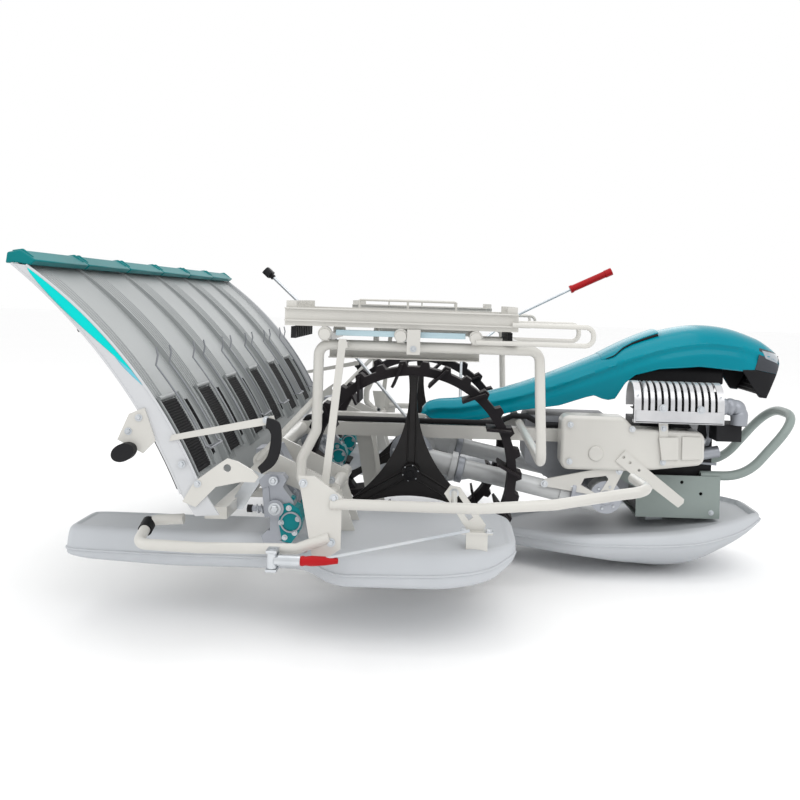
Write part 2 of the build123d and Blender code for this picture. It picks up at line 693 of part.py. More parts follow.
with BuildPart() as levers:
    tube([(-120, -75, 440), (-300, -60, 640), (-590, -40, 900)], 60, 10)
    tube([(40, 175, 430), (40, 230, 640), (221, 300, 786), (435, 300, 897)], 60, 10)
    block((20, 60), (BEAM_Y, 185), (415, 436))
    block((-140, -100), (-BEAM_Y - 2, -65), (425, 445))
    cope("chassis_beams")
keep(levers, "control_levers")

LEVER_TOP = (435.0, 300.0, 897.0)
GRIP_RUN = (150.0, 0.0, 72.0)
with BuildPart() as red_grip:
    for start, stop, radius in ((0.0, 0.84, 12.5), (0.0, 0.06, 14.5), (0.84, 1.0, 14.0)):
        begin = tuple(place + start * step for place, step in zip(LEVER_TOP, GRIP_RUN))
        with BuildSketch(Plane(origin=begin, z_dir=GRIP_RUN)):
            Circle(radius)
        extrude(amount=(stop - start) * math.hypot(*GRIP_RUN))
    cope("control_levers")
keep(red_grip, "lever_grip")

KNOB_AT = (-590.0, -40.0, 900.0)
KNOB_RUN = (-290.0, 20.0, 260.0)
with BuildPart() as knob:
    for start, length, across, high, corner in ((0, 12, 17, 17, 6), (12, 24, 26, 42, 10)):
        step = start / math.hypot(*KNOB_RUN)
        begin = tuple(place + step * run for place, run in zip(KNOB_AT, KNOB_RUN))
        with BuildSketch(Plane(origin=begin, z_dir=KNOB_RUN)):
            RectangleRounded(across, high, corner)
        extrude(amount=length)
    cope("control_levers")
keep(knob, "lever_knob")

# Seedling platform: ribbed panel, side plates, caps and feed belts, sliding sideways on the lower rail
SLIDE_X = (-588.0, -534.0)
SLIDE_Z = (292.0, 322.0)
FRONT_ARC = ((-572, 404), (-747, 681), (-985, 895))
REAR_ARC = ((-611, 378), (-790, 672), (-1019, 898))


def between(share):
    """Three points of the arc that lies between the side plate's front and rear edges."""
    return [
        (front[0] + share * (rear[0] - front[0]), front[1] + share * (rear[1] - front[1]))
        for front, rear in zip(FRONT_ARC, REAR_ARC)
    ]


def curved_band(share_front, share_rear, lower, y, thickness):
    """A band of the platform's curve between two shares of the side plate's width, with a lower end."""
    front = between(share_front)
    rear = between(share_rear)
    with BuildSketch(side_plane(y)) as band:
        with BuildLine():
            ThreePointArc(*front)
            Line(front[-1], rear[-1])
            ThreePointArc(*reversed(rear))
            Polyline(rear[0], *lower, front[0])
        make_face()
    extrude(band.sketch, amount=thickness)


RIDGES = 5
RIDGE_PITCH = 13.0
with BuildPart() as panel:
    curved_band(0.45, 0.62, ((-570, 330), (-556, 330)), PLATFORM_HALF - 6, 2 * PLATFORM_HALF - 12)
    for lane in range(1, ROWS):
        y = -PLATFORM_HALF + lane * ROW_PITCH
        curved_band(0.12, 0.5, ((-566, 340), (-552, 340)), y + 4, 8)
    for lane in range(ROWS):
        for ridge in range(1, RIDGES):
            for side_of_lane in (-1, 1):
                y = ROW_Y[lane] + side_of_lane * (ROW_PITCH / 2 - 5 - ridge * RIDGE_PITCH)
                curved_band(0.34, 0.5, ((-566, 340), (-558, 340)), y + 1.5, 3)
keep(panel, "platform_panel")

with BuildPart() as cheeks:
    for edge in (-PLATFORM_HALF + 6, PLATFORM_HALF):
        curved_band(0.0, 1.0, ((-577, 328), (-522, 332)), edge, 6)
keep(cheeks, "platform_side_plates")

with BuildPart() as caps:
    for y in ROW_Y:
        plate(
            ((-1034, 896), (-1030, 926), (-996, 931), (-962, 906), (-978, 893), (-1012, 900)),
            y + ROW_PITCH / 2 - 7,
            ROW_PITCH - 14,
        )
keep(caps, "platform_caps")

BELT_HALF = 26.0
BELT_TOP = 546.0
with BuildPart() as belts:
    for y in ROW_Y:
        curved_band(0.26, 0.45, ((-580, 360), (-570, 360)), y + BELT_HALF, 2 * BELT_HALF)
        for groove in (-13, 0, 13):
            band_y = y + groove
            front = between(0.26)
            with BuildSketch(side_plane(band_y + 2)) as slot_face:
                with BuildLine():
                    ThreePointArc(*[(x - 3, z) for x, z in front])
                    Line((front[2][0] - 3, front[2][1]), (front[2][0] + 30, front[2][1]))
                    ThreePointArc(*[(x + 30, z) for x, z in reversed(front)])
                    Line((front[0][0] + 30, front[0][1]), (front[0][0] - 3, front[0][1]))
                make_face()
            extrude(slot_face.sketch, amount=4, mode=Mode.SUBTRACT)
    block((-800, -400), (-PLATFORM_HALF, PLATFORM_HALF), (402, BELT_TOP), mode=Mode.INTERSECT)
keep(belts, "feed_belts")

HOLDER_R = 2.5
HOLDER_PROUD = 24.0
HOLDER_HALF = 62.0
with BuildPart() as holders:
    arc = between(0.34)
    steep = math.atan2(arc[1][1] - arc[0][1], arc[1][0] - arc[0][0])
    proud = (math.sin(steep) * HOLDER_PROUD, -math.cos(steep) * HOLDER_PROUD)
    low = (arc[0][0] + proud[0] - 6, arc[0][1] + proud[1] + 40)
    high = (arc[1][0] + proud[0] - 6, arc[1][1] + proud[1] - 20)
    foot = (between(0.5)[1][0] - 8, between(0.5)[1][1] + 4)
    for y in ROW_Y:
        route = [(foot[0], foot[1] + 30), (high[0], high[1] + 30), low]
        points = [(x, y - HOLDER_HALF, z) for x, z in route] + [(x, y + HOLDER_HALF, z) for x, z in reversed(route)]
        tube(points, 16, 2 * HOLDER_R)
    cope("platform_panel")
keep(holders, "mat_holders")

RAIL_LUG = (
    (-526, 450), (-506, 464), (-482, 458), (-446, 438), (-432, 424), (-440, 411), (-472, 411), (-530, 398),
    (-575, 350), (-606, 362), (-580, 408),
)
with BuildPart() as press:
    for sign in (-1, 1):
        edge = -PLATFORM_HALF if sign < 0 else PLATFORM_HALF + 5
        plate(((-640, 500), (-636, 514), (-402, 566), (-398, 548)), edge, 5)
        plate(((-735, 560), (-700, 575), (-672, 500), (-700, 470), (-760, 500)), edge, 5)
        plate(RAIL_LUG, edge, 5)
        shaft(-505, 442, edge + 1, edge - 6, 9, mode=Mode.SUBTRACT)
    cope("platform_side_plates")
keep(press, "platform_brackets")

STRAP_OUT = ((-416, 562), (-386, 552), (-380, 520), (-384, 480), (-397, 452), (-424, 432))
STRAP_IN = ((-427, 436), (-402, 456), (-389, 482), (-385, 520), (-391, 549), (-416, 556))
with BuildPart() as straps:
    for sign in (-1, 1):
        edge = -PLATFORM_HALF - 5 if sign < 0 else PLATFORM_HALF + 30
        plate(STRAP_OUT + STRAP_IN, edge, 25)
    cope("platform_brackets")
keep(straps, "press_straps")

with BuildPart() as ovals:
    for sign in (-1, 1):
        with BuildSketch(Plane.XZ.offset(-sign * (PLATFORM_HALF + 5))):
            with Locations(Location((-739, 474, 0), 25)):
                Ellipse(27, 20)
        extrude(amount=-sign * 24)
keep(ovals, "platform_knobs")

with BuildPart() as rail:
    block(SLIDE_X, (-780, 780), SLIDE_Z)
keep(rail, "slide_rail")

with BuildPart() as rail_brackets:
    for y in (-675, -300, 300, 675):
        plate(((-490, 405), (-452, 405), (-520, 292), (-560, 292), (-545, 318)), y + 4, 8)
    cope("rear_beam", "slide_rail")
keep(rail_brackets, "slide_rail_brackets")

with BuildPart() as support:
    for y in (-320, 320):
        tube([(-575, y, 296), (-650, y, 300), (-742, y, 530)], 40, 22)
    tube([(-742, -560, 536), (-742, 560, 536)], 0, 22)
    cope("slide_rail")
keep(support, "platform_support")

# Row markers, folded forward along the guard rails and swung outwards for work
MARKER_X = -385.0
MARKER_Z = 250.0
for side, sign in SIDES:
    y = sign * MARKER_Y
    with BuildPart() as ears:
        for z in (MARKER_Z - 24, MARKER_Z + 18):
            block((MARKER_X - 12, MARKER_X + 12), (sign * (GUARD_Y + 8), y + sign * 12), (z, z + 6))
        block((MARKER_X - 12, MARKER_X + 12), (sign * GUARD_Y, sign * (GUARD_Y + 16)), (MARKER_Z - 24, MARKER_Z + 24))
        with BuildSketch(Plane.XY.offset(MARKER_Z - 26)):
            with Locations((MARKER_X, y)):
                Circle(6)
        extrude(amount=52)
        cope(f"guard_rail_{side}")
    keep(ears, f"marker_hinge_{side}")

    with BuildPart() as marker:
        with BuildSketch(Plane.XY.offset(MARKER_Z - 17)):
            with Locations((MARKER_X, y)):
                Circle(11)
        extrude(amount=34)
        with BuildSketch(Plane.YZ.offset(MARKER_X + 6)):
            with Locations((y, MARKER_Z)):
                Circle(12)
        extrude(amount=58)
        tube([(MARKER_X + 50, y, MARKER_Z), (-290, y, MARKER_Z + 2), (56, y, 330)], 40, 7)
        with BuildSketch(Plane.XY.offset(MARKER_Z - 20)):
            with Locations((MARKER_X, y)):
                Circle(6 + RUNNING_GAP)
        extrude(amount=40, mode=Mode.SUBTRACT)
    keep(marker, f"marker_arm_{side}")

    with BuildPart() as grip:
        with BuildSketch(Plane.YZ.offset(MARKER_X + 64)):
            with Locations((y, MARKER_Z)):
                Circle(11)
        extrude(amount=28)
        cope(f"marker_arm_{side}")
    keep(grip, f"marker_grip_{side}")
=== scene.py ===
"""Finishes and fine pieces of a walk-behind six-row rice transplanter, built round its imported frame.

+X is forward, +Y is the machine's left and +Z is up. Lengths are in metres.
"""

import math

import bmesh
import bpy
import numpy as np
from mathutils import Euler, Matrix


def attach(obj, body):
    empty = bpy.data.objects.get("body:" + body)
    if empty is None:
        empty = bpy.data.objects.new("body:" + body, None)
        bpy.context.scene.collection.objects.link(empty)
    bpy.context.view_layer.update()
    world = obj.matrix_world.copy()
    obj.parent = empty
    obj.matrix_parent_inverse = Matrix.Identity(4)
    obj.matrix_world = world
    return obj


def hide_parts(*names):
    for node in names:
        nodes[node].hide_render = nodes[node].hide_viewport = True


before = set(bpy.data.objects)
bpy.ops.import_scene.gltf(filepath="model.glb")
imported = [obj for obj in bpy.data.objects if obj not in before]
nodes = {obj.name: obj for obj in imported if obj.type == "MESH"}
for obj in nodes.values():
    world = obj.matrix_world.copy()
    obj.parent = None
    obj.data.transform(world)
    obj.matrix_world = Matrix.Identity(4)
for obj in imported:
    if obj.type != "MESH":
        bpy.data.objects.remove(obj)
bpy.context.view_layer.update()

# Shared places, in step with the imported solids
SIDES = (("right", -1), ("left", 1))
ROW_PITCH = 0.3
ROWS = 6
PLATFORM_HALF = ROWS * ROW_PITCH / 2
ROW_Y = [(row - (ROWS - 1) / 2) * ROW_PITCH for row in range(ROWS)]
AXLE_X, AXLE_Z = -0.107, 0.3291
ARM_PIVOT_X, ARM_PIVOT_Z = 0.49, 0.255


# Surfaces as arrays of points
def sheet_of(points, close_cols=False):
    """Vertices and quads of a grid: each point joined to its neighbours in row and column, the last column
    joined to the first where closed."""
    rows, cols = points.shape[:2]
    index = np.arange(rows * cols).reshape(rows, cols)
    if close_cols:
        index = np.hstack([index, index[:, :1]])
    quads = np.stack([index[:-1, :-1], index[1:, :-1], index[1:, 1:], index[:-1, 1:]], axis=-1)
    return points.reshape(-1, 3), quads.reshape(-1, 4)


def unit(vectors):
    """Each vector divided by its own length."""
    return vectors / np.linalg.norm(vectors, axis=-1, keepdims=True)


def full_turn(count):
    """Angles evenly spaced round a circle."""
    return np.linspace(0, 2 * math.pi, count, endpoint=False)


def bent_path(corners, bend, steps=6):
    """A route along straight runs, each inner corner rounded by a parabola that starts bend before the
    corner and ends bend after it: (1-t)^2 start + 2t(1-t) corner + t^2 end."""
    corners = np.asarray(corners, float)
    if len(corners) == 2:
        return corners
    middle = corners[1:-1]
    before = unit(corners[:-2] - middle)
    after = unit(corners[2:] - middle)
    room = np.minimum(
        np.linalg.norm(corners[:-2] - middle, axis=1), np.linalg.norm(corners[2:] - middle, axis=1)
    )
    reach = np.minimum(bend, 0.48 * room)[:, None]
    start = middle + before * reach
    end = middle + after * reach
    t = np.linspace(0, 1, steps)[:, None, None]
    arcs = (1 - t) ** 2 * start + 2 * t * (1 - t) * middle + t ** 2 * end
    arcs = arcs.transpose(1, 0, 2).reshape(-1, 3)
    return np.vstack([corners[:1], arcs, corners[-1:]])


def smooth_path(points, steps):
    """A Catmull-Rom curve through the points: each stretch a cubic of its four nearest points."""
    points = np.asarray(points, float)
    padded = np.vstack([2 * points[0] - points[1], points, 2 * points[-1] - points[-2]])
    p0, p1, p2, p3 = padded[:-3], padded[1:-2], padded[2:-1], padded[3:]
    t = np.linspace(0, 1, steps, endpoint=False)[:, None, None]
    curve = 0.5 * (
        2 * p1 + (p2 - p0) * t + (2 * p0 - 5 * p1 + 4 * p2 - p3) * t ** 2 + (3 * p1 - p0 - 3 * p2 + p3) * t ** 3
    )
    return np.vstack([curve.transpose(1, 0, 2).reshape(-1, points.shape[1]), points[-1:]])


def rod(path, radius, sides=8):
    """A round bar: at each point of the path a circle in the plane across it, radius as a number or one per
    point, with its ends drawn in to their centres."""
    path = np.asarray(path, float)
    radius = np.broadcast_to(np.asarray(radius, float), (len(path),))
    along = unit(np.gradient(path, axis=0))
    normal = np.linalg.svd(path - path.mean(axis=0))[2][2]
    side = unit(np.cross(along, normal))
    up = np.cross(side, along)
    path = np.vstack([path[:1], path, path[-1:]])
    side = np.vstack([side[:1], side, side[-1:]])
    up = np.vstack([up[:1], up, up[-1:]])
    radius = np.concatenate([[0], radius, [0]])
    turn = full_turn(sides)
    ring = np.cos(turn)[None, :, None] * side[:, None] + np.sin(turn)[None, :, None] * up[:, None]
    return sheet_of(path[:, None] + radius[:, None, None] * ring, close_cols=True)


def turned(profile, centre, axis, sides):
    """A turned body: the profile's (distance along the axis, radius) pairs swept once round the axis."""
    profile = np.asarray(profile, float)
    axis = unit(np.asarray(axis, float))
    helper = np.array([0.0, 0.0, 1.0]) if abs(axis[2]) < 0.9 else np.array([1.0, 0.0, 0.0])
    side = unit(np.cross(axis, helper))
    up = np.cross(side, axis)
    turn = full_turn(sides)
    ring = np.cos(turn)[:, None] * side + np.sin(turn)[:, None] * up
    points = np.asarray(centre, float) + profile[:, :1, None] * axis + profile[:, 1:, None] * ring[None]
    return sheet_of(points, close_cols=True)


def slab(outline, low, high, across="y"):
    """A flat plate: the outline's two coordinates in the plane across the named axis, between low and
    high."""
    outline = np.asarray(outline, float)
    places = {"x": (1, 2, 0), "y": (0, 2, 1)}[across]
    count = len(outline)
    points = np.zeros((2 * count, 3))
    points[:, places[0]] = np.tile(outline[:, 0], 2)
    points[:, places[1]] = np.tile(outline[:, 1], 2)
    points[:, places[2]] = np.repeat([low, high], count)
    here = np.arange(count)
    there = np.roll(here, -1)
    walls = np.stack([here, there, there + count, here + count], axis=1).tolist()
    return points, walls + [here.tolist(), (here[::-1] + count).tolist()]


def block(x, z, y):
    """A flat bar along the axes, from the two ends each of its x, z and y."""
    (left, right), (low, high) = x, z
    return slab([(left, low), (left, high), (right, high), (right, low)], *sorted(y))


def hexagon_bolt(at, axis, across, height, washer=True):
    """A hexagon head, where asked on its washer: turned profiles, the head with six sides and a chamfered
    crown."""
    head = [(0, 0), (0, across / 2), (height * 0.8, across / 2), (height, across * 0.4), (height, 0)]
    parts = [turned(head, at, axis, sides=6)]
    if washer:
        rim = [(0, 0), (0, across * 0.78), (height * 0.28, across * 0.78), (height * 0.28, 0)]
        parts.append(turned(rim, at, axis, sides=18))
    return parts


def add_object(name, data):
    """A new object that holds the data, linked to the scene."""
    made = bpy.data.objects.new(name, data)
    bpy.context.scene.collection.objects.link(made)
    return made


def piece(name, patches, finish, body, stands_for=(), bevel=0.0, wall=0.0, crease=35.0):
    """Joins patches into one object, closes its seams, turns its faces outwards and rides it on a body."""
    points, faces, start = [], [], 0
    for patch_points, patch_faces in patches:
        points.append(np.asarray(patch_points, float))
        listed = patch_faces if isinstance(patch_faces, list) else patch_faces.tolist()
        faces.extend([start + corner for corner in face] for face in listed)
        start += len(patch_points)
    mesh = bpy.data.meshes.new(name)
    mesh.from_pydata(np.vstack(points).tolist(), [], faces)
    shape = bmesh.new()
    shape.from_mesh(mesh)
    bmesh.ops.remove_doubles(shape, verts=shape.verts, dist=2e-6)
    bmesh.ops.dissolve_degenerate(shape, edges=shape.edges, dist=1e-7)
    bmesh.ops.recalc_face_normals(shape, faces=shape.faces)
    shape.to_mesh(mesh)
    shape.free()
    mesh.shade_smooth()
    mesh.set_sharp_from_angle(angle=math.radians(crease))
    made = add_object(name, mesh)
    mesh.materials.append(finish)
    if wall:
        thicken = made.modifiers.new("wall", "SOLIDIFY")
        thicken.thickness = wall
        thicken.offset = -1
    if bevel:
        soften = made.modifiers.new("soft_edges", "BEVEL")
        soften.width = bevel
        soften.segments = 2
        soften.limit_method = "ANGLE"
        soften.angle_limit = math.radians(40)
    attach(made, body)
    if stands_for:
        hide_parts(*stands_for)


# Finishes
def finish_of(name, light, dark, rough, rough_spread=0.08, metal=0.0, coat=0.0, cloud=3.0, grain=500.0,
              bump=0.05, dust=0.0, mirror=0.35):
    """A finish whose colour drifts between light and dark over broad clouds, with a fine grain in its
    roughness and relief, and where asked dust that gathers on faces that look up."""
    made = bpy.data.materials.new(name)
    made.use_nodes = True
    tree = made.node_tree
    link = tree.links.new

    def set_inputs(target, values):
        for label, value in values.items():
            target.inputs[label].default_value = value

    def node_of(kind, **values):
        fresh = tree.nodes.new("ShaderNode" + kind)
        set_inputs(fresh, {label.replace("_", " "): value for label, value in values.items()})
        return fresh

    shader = tree.nodes["Principled BSDF"]
    gloss = {"Metallic": metal, "Coat Weight": coat, "Coat Roughness": 0.08, "Specular IOR Level": mirror}
    set_inputs(shader, gloss)
    place = node_of("TexCoord")

    clouds = node_of("TexNoise", Scale=cloud, Detail=6)
    link(place.outputs["Object"], clouds.inputs["Vector"])
    drift = node_of("ValToRGB")
    for stop, position, colour in zip(drift.color_ramp.elements, (0.35, 0.65), (dark, light)):
        stop.position = position
        stop.color = (*colour, 1)
    link(clouds.outputs["Fac"], drift.inputs["Fac"])
    paint = drift.outputs["Color"]

    fine = node_of("TexNoise", Scale=grain, Detail=3)
    link(place.outputs["Object"], fine.inputs["Vector"])
    if dust:
        geometry = node_of("NewGeometry")
        split = node_of("SeparateXYZ")
        link(geometry.outputs["Normal"], split.inputs["Vector"])
        settle = node_of("MapRange", From_Min=0.3, From_Max=1.0, To_Max=dust)
        link(split.outputs["Z"], settle.inputs["Value"])
        film = node_of("Mix")
        film.data_type = "RGBA"
        film.inputs["B"].default_value = (0.33, 0.3, 0.26, 1)
        link(settle.outputs["Result"], film.inputs["Factor"])
        link(paint, film.inputs["A"])
        paint = film.outputs["Result"]
    link(paint, shader.inputs["Base Color"])

    patchy = node_of("MapRange", To_Min=max(rough - rough_spread, 0.02), To_Max=rough + rough_spread)
    link(fine.outputs["Fac"], patchy.inputs["Value"])
    link(patchy.outputs["Result"], shader.inputs["Roughness"])

    relief = node_of("Bump", Strength=bump, Distance=0.001)
    link(fine.outputs["Fac"], relief.inputs["Height"])
    link(relief.outputs["Normal"], shader.inputs["Normal"])
    return made


CREAM = finish_of("cream_gloss_paint", (0.57, 0.56, 0.525), (0.515, 0.505, 0.475), 0.3, coat=0.35, grain=900)
WHITE = finish_of("white_moulding", (0.52, 0.53, 0.545), (0.47, 0.48, 0.495), 0.38, cloud=2.0, grain=700,
                  bump=0.03)
PANEL = finish_of("panel_moulding", (0.3, 0.315, 0.317), (0.26, 0.275, 0.277), 0.42, cloud=2.0)
FLOAT = finish_of("float_moulding", (0.5, 0.52, 0.545), (0.455, 0.475, 0.5), 0.5, cloud=2.5, grain=350,
                  dust=0.06)
TEAL = finish_of("hood_gloss", (0.0, 0.225, 0.29), (0.0, 0.198, 0.262), 0.2, 0.04, coat=0.04, grain=60,
                 bump=0.01, mirror=0.1)
TEAL_CAP = finish_of("cap_moulding", (0.0, 0.175, 0.185), (0.0, 0.14, 0.15), 0.35, mirror=0.15)
RUBBER = finish_of("wheel_rubber", (0.022, 0.019, 0.021), (0.011, 0.01, 0.012), 0.6, grain=260, bump=0.35,
                   dust=0.05, mirror=0.12)
SPIDER = finish_of("spider_paint", (0.018, 0.016, 0.016), (0.01, 0.009, 0.009), 0.32, coat=0.12, grain=300,
                   mirror=0.2)
BLACK = finish_of("black_moulding", (0.016, 0.016, 0.018), (0.008, 0.008, 0.009), 0.5, grain=600, bump=0.12,
                  mirror=0.15)
BELT = finish_of("belt_rubber", (0.016, 0.016, 0.017), (0.008, 0.008, 0.009), 0.65, bump=0.3, mirror=0.1)
CAST = finish_of("silver_casting", (0.36, 0.375, 0.41), (0.28, 0.295, 0.325), 0.42, metal=0.45, grain=220,
                 bump=0.25)
ARM = finish_of("silver_paint", (0.52, 0.53, 0.53), (0.46, 0.47, 0.475), 0.35, metal=0.15)
ZINC = finish_of("zinc_plate", (0.58, 0.6, 0.62), (0.48, 0.51, 0.54), 0.3, 0.03, metal=0.85, cloud=9,
                 grain=300, bump=0.01)
LOUVRE = finish_of("bright_sheet", (0.6, 0.6, 0.61), (0.5, 0.505, 0.52), 0.34, metal=0.6, cloud=12, grain=350)
TRAY = finish_of("tray_paint", (0.26, 0.305, 0.29), (0.225, 0.265, 0.25), 0.4, coat=0.1, grain=700, mirror=0.25)
ENGINE = finish_of("engine_black", (0.028, 0.028, 0.03), (0.014, 0.014, 0.016), 0.5, grain=150, bump=0.3,
                   mirror=0.15)
CASE = finish_of("gear_casting", (0.3, 0.31, 0.33), (0.23, 0.24, 0.26), 0.5, metal=0.4, grain=160, bump=0.35)
RED = finish_of("red_rubber", (0.45, 0.004, 0.008), (0.32, 0.003, 0.006), 0.45, bump=0.15, mirror=0.2)
STRAW = finish_of("zinc_blue", (0.42, 0.55, 0.6), (0.36, 0.48, 0.54), 0.35, metal=0.3, cloud=8, grain=300)
TEAL_DARK = finish_of("cover_moulding", (0.0, 0.21, 0.23), (0.0, 0.155, 0.175), 0.35, mirror=0.2)
STRIPE_TEAL = finish_of("stripe_teal", (0.0, 0.58, 0.55), (0.0, 0.5, 0.48), 0.4, cloud=1.5, mirror=0.1)
STRIPE_PALE = finish_of("stripe_pale", (0.16, 0.5, 0.6), (0.12, 0.42, 0.52), 0.4, cloud=1.5, mirror=0.1)
BEZEL = finish_of("lamp_bezel", (0.06, 0.064, 0.074), (0.042, 0.046, 0.053), 0.35, mirror=0.2)
LENS = finish_of("lamp_lens", (0.34, 0.38, 0.42), (0.24, 0.27, 0.3), 0.08, 0.04, coat=1.0, cloud=30, grain=90,
                 bump=0.05)

FINISHES = {
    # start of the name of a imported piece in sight: finish, where all others are cream
    "wheel_rim": RUBBER, "wheel_spider": SPIDER, "gear_case": CASE, "swing_arm": ARM, "engine_tray": TRAY,
    "engine_block": ENGINE, "engine_fittings": CAST, "silencer_guard": LOUVRE, "silencer": BLACK,
    "hood_hinge": ZINC, "planting_cases": CAST, "planting_arms": CAST, "arm_covers": TEAL_DARK,
    "float_front_link": ZINC, "control_levers": ZINC, "lever_grip": RED, "lever_knob": BLACK,
    "control_cable": BLACK, "platform_side_plates": WHITE, "platform_knobs": BLACK,
    "slide_rail_brackets": ZINC, "marker_hinge": ZINC, "marker_arm": ZINC,
}

for node_name, node in nodes.items():
    stem = max((key for key in FINISHES if node_name.startswith(key)), key=len, default=None)
    for material_slot in node.material_slots:
        material_slot.material = FINISHES.get(stem, CREAM)

# Platform: a curved board between two arcs, whose surface is followed by everything on it
FRONT_ARC = np.array([(-0.572, 0.404), (-0.747, 0.681), (-0.985, 0.895)])
REAR_ARC = np.array([(-0.611, 0.378), (-0.79, 0.672), (-1.019, 0.898)])


def arc_point(three, share):
    """Points of the circle through three points: its centre solves the two bisectors, and the angle runs
    evenly with the share from the first point to the last."""
    a, b, c = three
    centre = np.linalg.solve(2 * np.array([b - a, c - a]), np.array([b @ b - a @ a, c @ c - a @ a]))
    turn = np.unwrap([math.atan2(*(point - centre)[::-1]) for point in three])
    angle = turn[0] + np.asarray(share, float) * (turn[2] - turn[0])
    radius = np.linalg.norm(a - centre)
    return centre + radius * np.stack([np.cos(angle), np.sin(angle)], axis=-1)


def platform_xz(up, across):
    """A point of the platform in x and z: the front and rear arcs blended by how far back it lies, at the
    height share up."""
    up, across = np.broadcast_arrays(np.asarray(up, float), np.asarray(across, float))
    front = arc_point(FRONT_ARC, up)
    rear = arc_point(REAR_ARC, up)
    return front + across[..., None] * (rear - front)


def line_at(flat, y):
    """A line of x and z points placed at one y."""
    return np.stack([flat[:, 0], np.full(len(flat), y), flat[:, 1]], axis=1)


def cross_bar(at, y_low, y_high, radius, sides=8):
    """A straight round bar from side to side through a point given in x and z."""
    return rod([(at[0], y_low, at[1]), (at[0], y_high, at[1])], radius, sides)


def build_caps():
    """One moulded cap over each lane's top end: a bevelled profile drawn through the lane's width, a seam
    apart, with a low rib near each of its ends."""
    profile = [
        (-1.034, 0.898), (-1.031, 0.924), (-1.0, 0.93), (-0.964, 0.907), (-0.977, 0.895), (-1.012, 0.901),
    ]
    rib = [(-1.026, 0.929), (-0.998, 0.9335), (-0.972, 0.914), (-1.0, 0.912)]
    for lane, y in enumerate(ROW_Y):
        seam = 0.001 if lane in (0, ROWS - 1) else 0.0035
        half = ROW_PITCH / 2 - seam
        parts = [slab(profile, y - half, y + half)]
        for end in (-1, 1):
            middle = y + end * (half - 0.012)
            parts.append(slab(rib, middle - 0.004, middle + 0.004))
        piece(f"lane_cap_{lane + 1}", parts, TEAL_CAP, "platform",
              stands_for=("platform_caps",), bevel=0.0035)


def build_leaf_stripes():
    """A leaf on each side plate: its front edge keeps a margin from the plate's, and its width is a half
    wave over its length, sin(pi s^1.5)^0.6, leaning to the top; a pale sliver goes on below its tip."""
    stripes = (
        # name, finish, height share of tip and head, greatest width share, distance off the plate
        ("teal", STRIPE_TEAL, 0.46, 0.985, 0.8, 0.0009), ("pale", STRIPE_PALE, 0.4, 0.58, 0.3, 0.0006),
    )
    margin = 0.08
    across = np.linspace(0, 1, 5)[:, None, None]
    for side, sign in SIDES:
        for name, finish, tip, head, wide, proud in stripes:
            up = np.linspace(tip, head, 80)
            share = (up - tip) / (head - tip)
            reach = wide * np.clip(np.sin(math.pi * share ** 1.5), 0, 1) ** 0.6
            edge, far = platform_xz(up, margin), platform_xz(up, margin + reach)
            flat = edge[None] * (1 - across) + far[None] * across
            y = np.full(flat.shape[:2], sign * (PLATFORM_HALF + proud))
            points = np.stack([flat[..., 0], y, flat[..., 1]], axis=-1)
            piece(f"leaf_stripe_{name}_{side}", [sheet_of(points)], finish, "platform",
                  wall=0.0003)


def build_side_plate_hems():
    """A rolled hem along both long edges of each side plate: a thin bead that follows the two arcs."""
    up = np.linspace(0.0, 1.0, 40)
    for side, sign in SIDES:
        y = sign * (PLATFORM_HALF - 0.001)
        beads = [rod(line_at(platform_xz(up, across), y), 0.0032) for across in (0.0, 1.0)]
        piece(f"side_plate_hem_{side}", beads, WHITE, "platform")


def arc_strip(up, across, y_low, y_high):
    """A strip laid on the platform's curve between two y values, at a share across, as a closed ring of
    four edges."""
    under = across + 0.06
    edges = ((across, y_low), (across, y_high), (under, y_high), (under, y_low))
    ring = np.stack([line_at(platform_xz(up, share), y) for share, y in edges], axis=1)
    centre = ring.mean(axis=1, keepdims=True)
    ends = [np.broadcast_to(centre[place], (1, 4, 3)) for place in (0, -1)]
    return sheet_of(np.vstack([ends[0], ring, ends[1]]), close_cols=True)


def mat_holder(y):
    """The bent wire over a lane: two stems before the board, hooked at the top and joined at the foot, and
    a stay from the foot to the board."""
    thick, half, stay_y = 0.0024, 0.05, y + 0.046
    before = -0.42
    line = platform_xz(np.linspace(0.1, 0.46, 14), before)
    hook = [line[-1:] + (0.004, 0.024), line[-1:] + (-0.001, 0.044)]
    stem = np.vstack([line[:1] + (0.012, -0.004), line] + hook)
    foot = platform_xz(0.1, before) + (0.012, -0.004)
    board = platform_xz(0.1, 0.5)
    bars = [rod(line_at(stem, y + turn * half), thick) for turn in (-1, 1)]
    bars.append(cross_bar(foot, y - half, y + half, thick))
    bars.append(rod([(foot[0], stay_y, foot[1]), (board[0], stay_y, board[1])], thick))
    return bars


